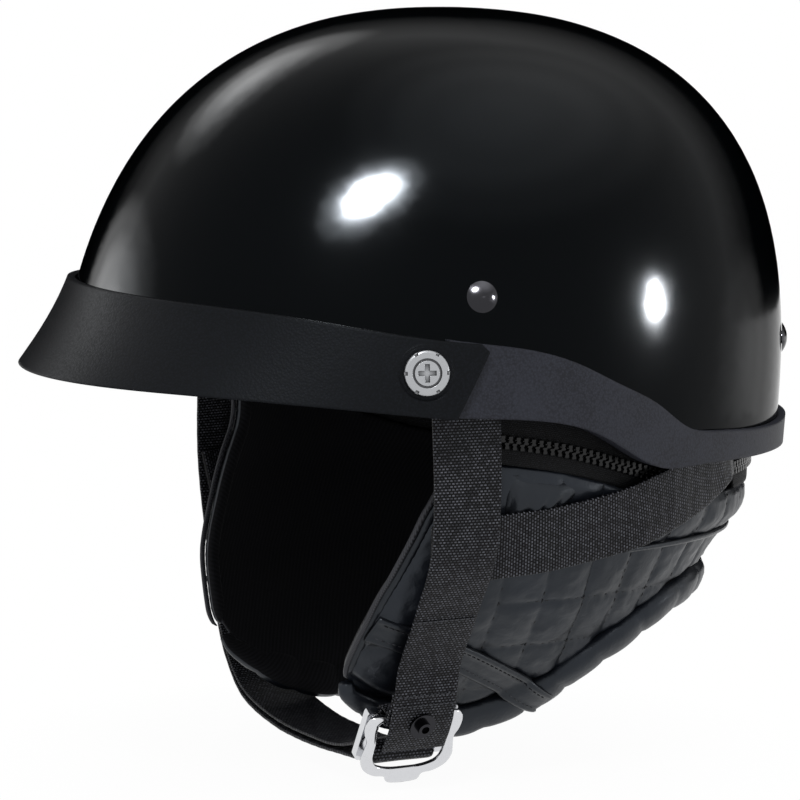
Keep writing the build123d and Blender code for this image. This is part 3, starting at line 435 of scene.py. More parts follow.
def girth(z, height=shell["height"]):
    return 1.0 if z <= 0 else (1 - (z / height) ** shell["upright"]) ** (1 / shell["round"])


def shellFlank(y, z, out):
    off = y - shell["lean"] * z
    ratio = min(1.0, abs(off / (reachAt(off < 0, out) * girth(z))))
    return (shell["halfWidth"] + out) * girth(z) * math.sqrt(1 - ratio ** 2)


def shellPoint(turn, z, out, g):  # turn 0 is the wearer's left, 90 degrees the rear
    return Vector(((shell["halfWidth"] + out) * g * math.cos(turn),
                   shell["lean"] * z + reachAt(math.sin(turn) < 0, out) * g * math.sin(turn), z))


# The covers' shape: level sections, each two half ellipses on one centre
covers = {
    "levels": [(0.20, .920, .713, .762), (0.06, .910, .721, .762), (-.0647, .875, .837, .742),
               (-.153, .820, .930, .639), (-.241, .755, .992, .603), (-.306, .680, 1.016, .583),
               (-.365, .615, 1.023, .576), (-.412, .555, 1.039, .570), (-.465, .480, 1.039, .563),
               (-.529, .415, 1.039, .556), (-.60, .370, 1.039, .556)],
    "centre": 0.1656 * shell["rear"], "soft": mm(3),
    "wall": mm(3.4), "lining": mm(1.2), "quilt": mm(17.2), "rowStart": mm(-2.0), "row": mm(18),
    "puff": mm(1.7), "frontPanel": mm(1.5), "seam": 0.238 * shell["rear"], "girth": mm(101), "tuck": mm(5),
    "bulge": mm(4.0), "bulgeTop": mm(-5), "bulgeFade": mm(11), "bulgeMiddle": mm(-16), "bulgeTall": mm(22),
    "sunk": mm(1), "underTape": mm(8.6), "gap": mm(0.1),
}
hem = {"height": mm(13.5), "depth": mm(9.6), "gather": mm(17.2), "pinch": 0.3, "lift": mm(5), "count": 150,
       "back": mm(1.5), "out": mm(1.6), "drop": mm(2.4), "corner": mm(34), "start": 0.45,
       "dent": mm(1.6), "dentReach": mm(16),
       "ringRest": Vector((mm(48), mm(-9), mm(-90)))}  # where the rings lie against the hem
zipLine = smoothLine(side([(-.17, .1545), (.093, .1176), (.2185, .0882), (.331, .0565), (.397, .040), (.4636, .0282),
                           (.543, .0212), (.629, .0188), (.75, .0188), (.88, .0188), (1.10, .0188)]), mm(1))
rimLine = smoothLine(side([(-1.10, .265), (-.62, .236), (-.233, .205), (.057, .1835), (.166, .155), (.285, .096),
                           (.364, .0655), (.477, .060), (.629, .0547), (.808, .0465), (1.10, .038)]), mm(1))
frontEdge = smoothLine(side([(-.181, .178), (-.181, .0576), (-.229, -.026), (-.290, -.135), (-.336, -.2235),
                             (-.363, -.340), (-.362, -.412)]), mm(1))
bottomEdge = smoothLine(side([(-.362, -.412), (-.3326, -.445), (-.200, -.505), (-.007, -.543), (.0947, -.522),
                              (.238, -.4676), (.321, -.404), (.421, -.3447), (.540, -.288), (.70, -.268),
                              (1.10, -.268)]), mm(1))


def coverSection(z):
    total = [0, 0, 0]
    for shift in (-covers["soft"], 0, covers["soft"]):  # a soft average, since leather turns no sharp corner
        share = max(-0.599, min(0.1999, (z + shift) / shell["height"]))
        for high, low in zip(covers["levels"], covers["levels"][1:]):
            if share >= low[0]:
                break
        t = (share - low[0]) / (high[0] - low[0])
        total = [s + (b + (a - b) * t) / 3 for s, a, b in zip(total, high[1:], low[1:])]
    return total[0] * shell["halfWidth"], total[1] * shell["front"], total[2] * shell["rear"]


def coverTurn(y, z):  # angle round the cover for a place on the left flank
    wide, front, rear = coverSection(z)
    off = y - covers["centre"]
    return math.asin(max(-1, min(1, off / (front if off < 0 else rear))))


def coverPoint(turn, z):
    wide, front, rear = coverSection(z)
    reach = front if math.sin(turn) < 0 else rear
    return Vector((wide * math.cos(turn), covers["centre"] + reach * math.sin(turn), z))


def coverFrame(turn, z, out=0.0):  # a point on the cover with its outward direction
    step = 0.01
    around = coverPoint(turn + step, z) - coverPoint(turn - step, z)
    up = coverPoint(turn, z + mm(1)) - coverPoint(turn, z - mm(1))
    normal = around.cross(up).normalized()
    return coverPoint(turn, z) + normal * out, normal


def flankFrame(at, out=0.0):  # the same for a side view place
    return coverFrame(coverTurn(at.x, at.y), at.y, out)


def onLine(line, turn):  # height where a side view line crosses the cover at this angle
    z = mm(-30)
    for step in range(12):
        z = heightAt(line, coverPoint(turn if turn <= math.pi / 2 else math.pi - turn, z).y)
    return z


def quiltPuff(turn, y, z):  # squares of quilting behind a smooth front panel
    back = (y - covers["frontPanel"]) / covers["quilt"]
    if y > covers["seam"]:
        past = (turn - coverTurn(covers["seam"], z)) * covers["girth"]
        back = (covers["seam"] - covers["frontPanel"] + past) / covers["quilt"]
    down = (covers["rowStart"] - z) / covers["row"]
    spot = Vector((turn * 9, z * 90, 0.3))
    uneven = mm(0.3) * noise.noise(spot * 3.1) + mm(0.45) * noise.noise(spot * 1.3)
    if back < 0:
        return covers["puff"] * 0.8 * min(1, -back * 4) ** 0.5 + uneven
    return covers["puff"] * hump(back) * hump(down) + uneven


def curtainBulge(turn, z):  # the stuffed curtain stands out at the back, most below the zip
    fade = math.exp(-((z - covers["bulgeMiddle"]) / covers["bulgeTall"]) ** 2)
    back = max(0.0, math.sin(turn)) ** 2
    return covers["bulge"] * back * ease((covers["bulgeTop"] - z) / covers["bulgeFade"]) * fade


def tuckIn(z, bottom):  # 0 inside the hem roll, 1 where the cover is free of it
    return ease((z - bottom - 0.6 * hem["height"]) / covers["tuck"])


def coverLayers(turn, z, outward, slack=0.0):  # places outside and inside the leather and its lining
    wall, gap = covers["wall"], covers["gap"]
    return [coverFrame(turn, z, out)[0] for out in (outward, -wall, -wall - gap, -wall - covers["lining"] - slack)]


# Ear covers: a side view patch between four edges, wrapped on the covers' shape
ear = {"across": 84, "down": 104, "edge": 4, "tuck": mm(2.2), "inset": mm(1.5), "step": mm(0.25), "slack": mm(0.25),
       "folds": ((mm(-42.5), 0.16), (mm(-50.5), 0.12)), "foldY": mm(-37)}
topFront = Vector(side([(-.181, .178)])[0])
seamTop = heightAt(zipLine, covers["seam"]) - covers["underTape"]
topLine = [topFront, Vector((mm(-15), mm(20)))]
topLine += [Vector((mm(y), heightAt(zipLine, mm(y)) - covers["underTape"])) for y in (-6, 5, 16, 27)]
topLine.append(Vector((covers["seam"], seamTop)))
earTop = smoothLine(topLine, ear["step"])
earBottom = smoothLine([(p.x, p.y + hem["lift"]) for p in bottomEdge if p.x < covers["seam"]][::6]
                       + [(covers["seam"], heightAt(bottomEdge, covers["seam"]) + hem["lift"])], ear["step"])
earFront = smoothLine([(p.x + ear["inset"], p.y) for p in frontEdge if p.y > earBottom[0].y][::6]
                      + [(earBottom[0].x + ear["inset"], earBottom[0].y)], ear["step"])
earRear = smoothLine([(covers["seam"], z) for z in (seamTop, mm(-35), earBottom[-1].y)], ear["step"])


def patchPoint(s, t):
    (a, b), (c, d) = ([line[round(share * (len(line) - 1))] for line in pair]
                      for share, pair in ((s, (earTop, earBottom)), (t, (earFront, earRear))))
    top, bottom = (line[0] * (1 - s) + line[-1] * s for line in (earTop, earBottom))
    return a * (1 - t) + b * t + c * (1 - s) + d * s - (top * (1 - t) + bottom * t)


def coverWrinkle(y, z):  # two pinched folds beside the front edge and soft drags under the strap
    total = 0.0
    for height, slope in ear["folds"]:
        off = z - height + slope * (y + mm(38))
        total += mm(1.5) * math.exp(-(off / mm(1.1)) ** 2 - ((y - ear["foldY"]) / mm(8)) ** 2)
        total -= mm(0.9) * math.exp(-((off + mm(2.6)) / mm(1.6)) ** 2 - ((y - ear["foldY"]) / mm(10)) ** 2)
    return total


def earCell(j, i, sign):
    i = i if sign > 0 else ear["across"] - i
    spot = patchPoint(i / ear["across"], j / ear["down"])
    turn = coverTurn(spot.x, spot.y)
    free = tuckIn(spot.y, heightAt(bottomEdge, spot.x))
    puff = quiltPuff(turn, spot.x, spot.y) + coverWrinkle(spot.x, spot.y)
    outward = puff * min(1, i / ear["edge"], j / ear["edge"]) * free - covers["sunk"] - ear["tuck"] * (1 - free)
    slack = ear["slack"] * noise.noise(Vector((spot.x, spot.y, 0)) * 60)
    return [onSide(sign, p) for p in coverLayers(turn, spot.y, outward, slack)] + [(spot.x * 1000, spot.y * 1000)]


for label, lower, sign in sides:
    outside, inside, liningOut, liningIn, flat = grids(ear["down"], ear["across"], earCell, sign)
    cover = sheetMesh("earCover" + label, outside, inside, flat, coverLeather, node="ear_cover_" + lower)
    lining = sheetMesh("earLining" + label, liningOut, liningIn, flat, tricot, node="ear_lining_" + lower)
print("ear covers made")

# Neck curtain, from seam to seam round the back
curtain = {"across": 300, "down": 44, "edge": 3, "over": mm(0.8), "lap": mm(0.3), "tuck": mm(1.8)}


def curtainCell(j, i):
    z = mm(-30)
    for again in range(3):  # the seam is straight in side view, so its angle goes with the height
        first = coverTurn(covers["seam"] - curtain["over"], z)
        turn = first + (math.pi - 2 * first) * i / curtain["across"]
        top, bottom = onLine(zipLine, turn) - covers["underTape"], onLine(bottomEdge, turn)
        z = top + (bottom + hem["lift"] - top) * j / curtain["down"]
    half = min(turn, math.pi - turn)
    free = tuckIn(z, bottom)
    puff = quiltPuff(half, coverPoint(half, z).y, z) + curtainBulge(half, z)
    lap = curtain["lap"] * (i in (0, curtain["across"]))
    outward = puff * min(1, j / curtain["edge"]) * free - covers["sunk"] - lap - curtain["tuck"] * (1 - free)
    sign = 1 if turn <= math.pi / 2 else -1
    return [onSide(sign, p) for p in coverLayers(half, z, outward)] + [(half * 95, z * 1000)]


outside, inside, liningOut, liningIn, flat = grids(curtain["down"], curtain["across"], curtainCell)
neckCurtain = sheetMesh("neckCurtain", outside, inside, flat, coverLeather, node="neck_curtain")
neckLining = sheetMesh("neckLining", liningOut, liningIn, flat, tricot, node="neck_lining")

# Piping sewn into the curtain, level with the lower edge of the rear straps
piping = {"z": mm(-20.2), "front": mm(48), "radius": mm(0.95), "out": mm(0.3), "count": 120}
first = coverTurn(piping["front"], piping["z"])
rings = []
for step in range(piping["count"] + 1):
    turn = first + (math.pi - 2 * first) * step / piping["count"]
    half, sign = min(turn, math.pi - turn), 1 if turn <= math.pi / 2 else -1
    stand = piping["out"] + curtainBulge(half, piping["z"])
    rings.append([onSide(sign, coverFrame(half, piping["z"] + piping["radius"] * s, stand + piping["radius"] * c)[0])
                  for c, s in circle(8)])
tubeMesh("curtainPiping", rings, 2, edgeLeather)


# Rolled hem along the lower edge, gathered a little at every quilting line
def turnAt(point):
    wide, front, rear = coverSection(point.z)
    off = point.y - covers["centre"]
    return math.atan2(off / (front if off < 0 else rear), abs(point.x) / wide)


foot = []
front = coverTurn(bottomEdge[0].x, bottomEdge[0].y)
for step in range(hem["count"] + 1):
    turn = front + (math.pi / 2 - front) * step / hem["count"]
    z = onLine(bottomEdge, turn)
    foot.append(coverFrame(turn, heightAt(bottomEdge, coverPoint(turn, z).y) if turn < 0 else z))
foot += [(onSide(-1, p), onSide(-1, n)) for p, n in foot[-2::-1]]
footLine = [low for low, out in foot]
total = sum((b - a).length for a, b in zip(footLine, footLine[1:]))
rings, uvs, run = [], [], 0.0
for k, (low, out) in enumerate(foot):
    rise = out.cross(heading(footLine, k)).normalized()
    rise *= math.copysign(1, rise.z)
    run += (low - footLine[k - 1]).length if k else 0
    near = min(1.0, min(run, total - run) / hem["corner"])
    grown = hem["start"] + (1 - hem["start"]) * ease(near)
    press = math.exp(-((low - hem["ringRest"]).length / hem["dentReach"]) ** 2)
    middle = low + rise * (hem["height"] * grown / 2 - hem["drop"] * near * (1 - press))
    back = hem["back"] * max(0.0, math.sin(turnAt(middle))) ** 2
    stand = hem["out"] * near + back - (covers["wall"] + covers["lining"]) / 2 - hem["dent"] * press
    middle, normal = coverFrame(turnAt(middle), middle.z, stand)
    if low.x < 0:
        middle.x, normal.x = -middle.x, -normal.x
    swell = 1 - hem["pinch"] * (1 - hump(run / hem["gather"])) + 0.05 * noise.noise(middle * 140)
    rings.append([middle + normal * a * swell * grown + rise * b * (0.5 + 0.5 * swell) * grown
                  for a, b in softSection(18, hem["depth"], hem["height"])])
    uvs.append([(run * 1000, n * 2) for n in range(18)])
coverHem = tubeMesh("coverHem", rings, uvs, coverLeather, lined=(tricot, 5, 12), node="cover_hem")

# Corded binding down each front edge
binding = {"wide": mm(4.6), "deep": mm(5.4), "step": mm(1.2), "stitch": mm(3.2), "taper": mm(7), "end": 0.3,
           "sunk": mm(2.35), "foot": mm(1.5), "cord": mm(0.95), "cordOut": mm(0.9), "cordIn": mm(0.2)}
lowest = bottomEdge[0].y + binding["foot"]
path = smoothLine([p for p in frontEdge if p.y > lowest][::5], binding["step"])
lowest = min(p.y for p in path)
for label, lower, sign in sides:
    rings, cord = [], []
    for k, spot in enumerate(path):
        ahead = heading(path, k)
        inward = Vector((-ahead.y, ahead.x)) * (1 if -ahead.y > 0 else -1)
        ripple = 1 + 0.04 * math.sin(2 * math.pi * k * binding["step"] / binding["stitch"])
        t = min(1.0, (spot.y - lowest) / binding["taper"])
        full = binding["end"] + (1 - binding["end"]) * math.sqrt(max(0.0, 1 - (1 - t) ** 2))
        section = softSection(14, binding["wide"] * full, binding["deep"] * ripple * full, 0.8)
        rings.append([onSide(sign, flankFrame(spot + inward * (a + binding["wide"] / 2), b - binding["sunk"])[0])
                      for a, b in section])
        edge = binding["cordIn"] + binding["wide"] * (1 - full) / 2
        cord.append([onSide(sign, flankFrame(spot + inward * (binding["cord"] * full * c + edge),
                                             (binding["cord"] * s + binding["cordOut"]) * full)[0])
                     for c, s in circle(8)])
    tubeMesh("binding" + label, rings, 1.2, edgeLeather, lined=(tricot, 7, 13), node="binding_" + lower)
    tubeMesh("bindingCord" + label, cord, 1, thread)
print("curtain, hem and bindings made")


# Webbing: a woven strap along a line, flat with rounded selvages
webbing = {"width": mm(25), "thick": mm(1.5), "station": -0.159 * shell["front"], "step": mm(1.2), "legTurn": 11.3,
           "frontInset": mm(-7.65), "rearInset": mm(-12.85)}


def strapMesh(name, path, across, node, thick=webbing["thick"], ripple=mm(0.18)):
    rings, uvs, run = [], [], 0.0
    for k, spot in enumerate(path):
        ahead = heading(path, k)
        aside = across(spot, ahead)
        aside = (aside - ahead * aside.dot(ahead)).normalized()
        normal = aside.cross(ahead)
        if k:
            run += (spot - path[k - 1]).length
        ring, ringUv = [], []
        for a, b in softSection(28, webbing["width"], thick, 0.32):
            share = a / webbing["width"]
            wave = ripple * (noise.noise(Vector((run * 70, share * 1.5, 0.5))) + 0.3 * math.sin(run * 900 + 3 * share))
            ring.append(spot + aside * a + normal * (b + wave))
            ringUv.append((a * 1000, run * 1000))
        rings.append(ring)
        uvs.append(ringUv)
    return tubeMesh(name, rings, uvs, nylonWebbing, node=node)


def legAcross(spot, ahead):
    low, high = -0.242 * shell["height"], 0.182 * shell["height"]
    turn = math.radians(webbing["legTurn"]) * max(0, (spot.z - low) / (high - low))
    return Vector((math.copysign(1, spot.x) * math.sin(turn), math.cos(turn), 0))


def straightAcross(spot, ahead):
    return Vector((0, 1, 0))


def inPlane(shares):  # front view shares to points in the straps' plane
    return [Vector((x * shell["halfWidth"], webbing["station"], z * shell["height"])) for x, z in shares]


def planePath(run, gap):  # the same for a curve through (x, z) places
    return [Vector((p.x, webbing["station"], p.y)) for p in smoothLine(run, gap)]


legTop = [Vector((shellFlank(webbing["station"], mm(z), webbing["frontInset"]), webbing["station"], mm(z)))
          for z in (88, 76, 62, 48)]
leftLeg = inPlane([(.909, .182), (.917, .0265), (.886, -.103), (.762, -.242), (.657, -.35), (.628, -.415),
                   (.593, -.485), (.536, -.5435)])
rightLeg = inPlane([(-.909, .182), (-.917, .0265), (-.890, -.103), (-.815, -.253), (-.735, -.365)])
for label, lower, sign, leg in (sides[0] + (leftLeg,), sides[1] + (rightLeg,)):
    run = [onSide(sign, p) for p in legTop] + leg
    strapMesh("frontStrap" + label, smoothLine(run, webbing["step"]), legAcross, "front_strap_" + lower)

# Rear legs: inside the zip at the top, out under its chain, then across the cover to the front leg
rearLeg = {"inner": side([(.93, .262), (.905, .246), (.87, .222), (.80, .168), (.72, .118)]),
           "outer": side([(.63, .072), (.55, .025), (.41, -.018), (.285, -.047), (.10, -.072)]),
           "ends": [(.864, -.02, -.085), (.848, -.24, -.10)], "off": mm(2.25), "tilt": 0.29, "shelf": mm(14),
           "steepTo": 0.08, "blend": 0.24}
rearRun = [Vector((shellFlank(y, z, webbing["rearInset"]), y, z)) for y, z in rearLeg["inner"]]
rearRun += [flankFrame(Vector(at), rearLeg["off"])[0] for at in rearLeg["outer"]]
rearRun += [Vector((x * shell["halfWidth"], y * shell["front"], z * shell["height"])) for x, y, z in rearLeg["ends"]]


def rearAcross(spot, ahead):
    sign = math.copysign(1, spot.x)
    steep = Vector((sign * rearLeg["tilt"], 0, 1)).normalized()
    share = ease((spot.y / shell["rear"] - rearLeg["steepTo"]) / rearLeg["blend"])
    if share == 0:
        return steep
    if spot.z > rearLeg["shelf"]:
        step = mm(1)
        flank, back, above = (shellFlank(spot.y + y, spot.z + z, webbing["rearInset"])
                              for y, z in ((0, 0), (step, 0), (0, step)))
        out = Vector((sign * step, flank - back, flank - above))
    else:
        out = onSide(sign, coverFrame(coverTurn(spot.y, spot.z), spot.z)[1])
    upward = out.cross(ahead)
    upward *= math.copysign(1, upward.z) / upward.length
    return steep.lerp(upward, share)


for label, lower, sign in sides:
    run = [onSide(sign, p) for p in rearRun]
    strapMesh("rearStrap" + label, smoothLine(run, webbing["step"]), rearAcross, "rear_strap_" + lower, ripple=mm(0.25))

# The two rings' bars, and the straps that turn on them
rings = {"outerBar": (.556, -.4718), "spacing": mm(4.1), "turn": 25.3, "innerTurn": 31.3, "innerLength": mm(19.6),
         "bar": mm(3.2), "loop": mm(2.33), "loopThick": mm(1.25), "loopStep": mm(0.6), "tail": mm(2.75),
         "tabOff": mm(1.65), "tabRise": mm(1.68), "play": mm(1.0), "beside": mm(3)}


def hanging(degrees):
    return Vector((-math.sin(math.radians(degrees)), 0, -math.cos(math.radians(degrees))))


def polar(centre, radius, degrees):  # a front view place as (x, z)
    turn = math.radians(degrees)
    return centre.x + radius * math.cos(turn), centre.z + radius * math.sin(turn)


outerBar = Vector((rings["outerBar"][0] * shell["halfWidth"], 0, rings["outerBar"][1] * shell["height"]))
hang = hanging(rings["turn"])
innerBar = outerBar + Vector((hang.z, 0, -hang.x)) * rings["spacing"]
wrapCentre = innerBar + hanging(rings["innerTurn"]) * rings["innerLength"]
wrapRadius = rings["bar"] / 2 + rings["play"] + webbing["thick"] / 2
beside = wrapCentre.x - rings["beside"]

# Chin strap: through both rings, round the inner ring's bar and back under itself
chinShares = [(-.795, -.318), (-.752, -.375), (-.675, -.462), (-.535, -.537), (-.28, -.572), (0.0, -.578), (.20, -.571)]
load = [(p.x, p.z) for p in inPlane(chinShares)] + [(beside, wrapCentre.z + wrapRadius)]
wrap = [polar(wrapCentre, wrapRadius, turn) for turn in (80, 40, 0, -40, -80)]
tail = [(beside, wrapCentre.z - wrapRadius)] + [(x, z - rings["tail"]) for x, z in load[1:-1]][::-1]
strapMesh("chinStrap", planePath(load + wrap + tail, webbing["step"]), straightAcross, "chin_strap", ripple=mm(0.15))

# Outer ring: pressed plate with lobed shoulders and a finger tab, round where the webbing turns on it
plate = {"thick": mm(2.4), "steps": 5, "barEnd": mm(3), "roundTo": mm(2), "section": 14,
         "outer": [(0, -1.6), (8, -1.6), (14, -1.6), (17.8, -0.8), (19.4, 2.4), (19.0, 6.6), (17.4, 10.4), (17.9, 14.6),
                   (18.3, 18.4), (16.6, 22.4), (12.2, 25.1), (7.6, 26), (6, 28.6), (0, 29.3)],
         "inner": [(0, 1.6), (8, 1.6), (12.8, 1.6), (14.0, 2.6), (14.5, 4.8), (14.3, 7.8), (14.0, 10.8), (14.1, 14.2),
                   (13.9, 17.4), (12.2, 20.4), (8.8, 21.9), (5.6, 22.5), (3.6, 22.6), (0, 22.6)]}


def evenCurve(points, steps):  # the same number of steps in every stretch, so that two edges stay in pairs
    pts = [Vector((mm(x), mm(y))) for x, y in points]
    pts = [Vector((-pts[1].x, pts[1].y))] + pts + [Vector((-pts[-2].x, pts[-2].y))]
    half = [splinePoint(*four, step / steps) for four in zip(pts, pts[1:], pts[2:], pts[3:]) for step in range(steps)]
    half.append(pts[-2])
    return half + [Vector((-p.x, p.y)) for p in half[-2:0:-1]]


face = Vector((0, 1, 0)).cross(hang)
origin = Vector((outerBar.x, webbing["station"], outerBar.z))
sections = []
for a, b in zip(*(evenCurve(plate[name], plate["steps"]) for name in ("outer", "inner"))):
    middle, reach = (a + b) / 2, a - b
    thick = plate["thick"] + (rings["bar"] - plate["thick"]) * max(0.0, 1 - middle.y / plate["barEnd"])
    section = []
    power = 0.55 if middle.y > plate["roundTo"] else 0.95
    for across, deep in softSection(plate["section"], reach.length, thick, power):
        spot = middle + reach.normalized() * across
        section.append(origin + Vector((0, 1, 0)) * spot.x + hang * spot.y + face * deep)
    sections.append(section)
tubeMesh("outerRing", sections, 1, chromedSteel, closed=True, body="outer_ring", node="d_ring_outer")

# Loop of webbing that holds both rings
step = (leftLeg[5] - leftLeg[6]).normalized()
aside = Vector((-step.z, 0, step.x)) * rings["tabOff"]
tabTop, tabFoot = leftLeg[5] + aside, leftLeg[6] + aside + step * rings["tabRise"]
away = math.degrees(math.atan2((outerBar - innerBar).z, (outerBar - innerBar).x))
loopRun = [(tabTop.x, tabTop.z), ((tabTop.x + tabFoot.x) / 2, (tabTop.z + tabFoot.z) / 2)]
for bar, turns in ((outerBar, (40, 0, -45, -90)), (innerBar, (-90, -135, -180, -225, -270)), (outerBar, (90,))):
    loopRun += [polar(bar, rings["loop"], away + turn) for turn in turns]
strapMesh("ringLoop", planePath(loopRun, rings["loopStep"]), straightAcross, "ring_loop", thick=rings["loopThick"],
          ripple=0)


# Sewn threads: short raised stitches along a line
def stitchRow(name, spots, length, radius, material=thread):  # spots are (place, along, outward)
    points, faces = [], []
    for spot, along, out in spots:
        aside = along.cross(out).normalized()
        start = len(points)
        for t, size in ((-0.5, 0.3), (-0.35, 0.9), (0, 1), (0.35, 0.9), (0.5, 0.3)):
            for c, s in circle(6):
                lift = radius * size * s - radius * (0.6 if abs(t) == 0.5 else 0)
                points.append(spot + along * length * t + aside * radius * size * c + out * lift)
        faces += tubeFaces(5, 6, start)
    return makeMesh(name, points, faces, None, material)


strapRows = {"heights": (-71.0, -74.5, -41.0),  # two above the rings, one where the rear leg joins
             "pitch": mm(2.1), "out": mm(0.95), "stitch": mm(1.8), "radius": mm(0.32), "step": mm(0.5)}
strapLine = smoothLine(leftLeg, strapRows["step"])
spots = []
for height in strapRows["heights"]:
    spot = min(strapLine, key=lambda p: abs(p.z - mm(height)))
    ahead = heading(strapLine, strapLine.index(spot))
    out = Vector((-ahead.z, 0, ahead.x))
    spots += [(spot + Vector((0, strapRows["pitch"] * k, 0)) + out * strapRows["out"], Vector((0, 1, 0)), out)
              for k in range(-5, 6)]
stitchRow("strapStitches", spots, strapRows["stitch"], strapRows["radius"])

# Quilting stitches in the grooves between the squares
quilt = {"pitch": mm(3.0), "stitch": mm(1.9), "radius": mm(0.3), "sunk": mm(-0.85), "top": mm(22), "columns": 14,
         "steps": 38, "rows": 5, "girth": mm(100), "overHem": mm(1), "underZip": mm(10)}


def quiltStitch(turn, z, downwards):  # one stitch on each side of the helmet, if the place is free quilting
    y = coverPoint(turn, z).y
    bottom = heightAt(bottomEdge, y)
    if not bottom + hem["height"] + quilt["overHem"] < z < heightAt(zipLine, y) - quilt["underZip"]:
        return []
    bulge = curtainBulge(turn, z) if y > covers["seam"] else 0
    point, out = coverFrame(turn, z, quilt["sunk"] + (quiltPuff(turn, y, z) + bulge) * tuckIn(z, bottom))
    ahead = coverPoint(turn, z - mm(1)) if downwards else coverPoint(turn + 0.01, z)
    along = (ahead - coverPoint(turn, z)).normalized()
    return [[onSide(sign, v) for v in (point, along, out)] for sign in (1, -1)]


spots = []
for column in range(quilt["columns"]):
    for step in range(quilt["steps"]):
        z = quilt["top"] - quilt["pitch"] * step
        y = min(covers["frontPanel"] + covers["quilt"] * column, covers["seam"])
        turn = coverTurn(y, z) + max(0, column - 2) * covers["quilt"] / covers["girth"]
        if turn < math.pi / 2:
            spots += quiltStitch(turn, z, True)
for row in range(quilt["rows"]):
    z = covers["rowStart"] - row * covers["row"]
    turn = coverTurn(covers["frontPanel"], z)
    while turn < math.pi / 2:
        if row != 1 or coverPoint(turn, z).y < piping["front"]:  # the piping takes this row's place at the back
            spots += quiltStitch(turn, z, False)
        turn += quilt["pitch"] / quilt["girth"]
stitchRow("quiltStitches", spots, quilt["stitch"], quilt["radius"], quiltThread)
print("webbing made")

# Zip: tapes behind, and moulded teeth that mesh one by one
zipper = {"radius": mm(95), "inset": mm(11), "start": 12.4, "pitch": mm(2.9), "upperTape": mm(9.75),
          "lowerTape": mm(5.75), "row": mm(2.4), "lap": mm(1.5), "tapeRows": 6, "front": mm(-1.65), "back": mm(-2.5),
          "open": mm(-1.1), "openFrom": mm(72), "openTo": mm(106), "openSide": mm(50), "arcSteps": 14}
zipCentre = Vector((0, 0, shell["rear"] - zipper["inset"] - zipper["radius"]))  # in plan, as (x, -, y)
planRun = [(x * shell["halfWidth"], y * reachAt(y < 0))
           for x, y in ((.891, -.0853), (.913, .0927), (.902, .2185), (.867, .331))]
planRun += [polar(zipCentre, zipper["radius"], zipper["start"] + (90 - zipper["start"]) * k / zipper["arcSteps"])
            for k in range(zipper["arcSteps"] + 1)]
planRun += [(-x, y) for x, y in planRun[-2::-1]]
zipPath = smoothLine(planRun, zipper["pitch"] / 4)


def zipFrame(k):
    spot = zipPath[max(0, min(len(zipPath) - 1, k))]
    ahead = heading(zipPath, k)
    out = Vector((ahead.y, -ahead.x, 0))
    return Vector((spot.x, spot.y, heightAt(zipLine, spot.y))), Vector((ahead.x, ahead.y, 0)), out


def tapeCell(n, column, top, low, opened):
    k = 2 * column
    spot, ahead, out = zipFrame(k)
    gone = opened and zipper["openFrom"] < spot.y < zipper["openTo"] and abs(spot.x) > zipper["openSide"]
    z = top + (zipper["open"] if gone else low - top) * n / zipper["tapeRows"]
    droop = mm(0.25) * noise.noise(Vector((k * 0.06, n * 0.4, 1)))
    spot += Vector((0, 0, z))
    return (spot + out * (zipper["front"] + droop), spot + out * (zipper["back"] + droop),
            (k * zipper["pitch"] * 250, z * 1000))


toothShape = [  # outline of one tooth in its own width and height: root, waist, head
    (-0.30, 1.0), (-0.30, 0.62), (-0.20, 0.45), (-0.36, 0.16), (-0.30, -0.02), (0.30, -0.02), (0.36, 0.16),
    (0.20, 0.45), (0.30, 0.62), (0.30, 1.0)]
toothLayers = ((mm(-0.05), 0.86), (mm(-0.35), 1.0), (mm(-2.2), 1.0), (mm(-2.5), 0.86))  # depth, shrink
zipRows = (("Upper", "upper", 1), ("Lower", "lower", -1))
for label, lower, sign in zipRows:
    top, low = zipper["row"] + zipper[lower + "Tape"], zipper["row"] - zipper["lap"]
    if sign < 0:
        top, low = -low, -top
    outside, inside, flat = grids(zipper["tapeRows"], (len(zipPath) - 1) // 2, tapeCell, top, low, sign < 0)
    sheetMesh("zipTape" + label, outside, inside, flat, zipTwill, node="zip_tape_" + lower)

for label, lower, sign in zipRows:
    points, faces = [], []
    for k in range(4 if sign > 0 else 6, len(zipPath) - 4, 4):
        spot, ahead, out = zipFrame(k)
        start = len(points)
        for depth, shrink in toothLayers:
            points += [spot + out * depth + ahead * a * shrink * zipper["pitch"]
                       + Vector((0, 0, sign * zipper["row"] * (0.5 + (b - 0.5) * (0.5 + shrink / 2))))
                       for a, b in toothShape]
        faces += tubeFaces(len(toothLayers), len(toothShape), start)
    teeth = makeMesh("zipTeeth" + label, points, faces, None, acetal, node="zip_teeth_" + lower)
    teeth.data.polygons.foreach_set("use_smooth", [False] * len(teeth.data.polygons))
print("zip made")

# Leather strip sewn across the cover, with a welt along both edges
band = {"line": side([(-.325, -.262), (-.24, -.287), (-.078, -.334), (.09, -.404), (.255, -.483)]), "width": mm(9.5),
        "thick": mm(1.5), "lift": mm(0.9), "over": mm(2.6), "face": 0.62, "stitchRows": (-0.27, 0.27),
        "stitch": mm(1.7), "radius": mm(0.22), "step": mm(1.2), "clear": mm(0.5),
        "profile": [(-.5, -.2), (-.5, .6), (-.44, 1.0), (-.36, 1.05), (-.30, .55), (-.12, .62), (.12, .62),
                    (.30, .55), (.36, 1.05), (.44, 1.0), (.5, .6), (.5, -.2)]}
bandLine = [p for p in smoothLine(band["line"], band["step"]) if p.y > heightAt(bottomEdge, p.x) + band["clear"]]


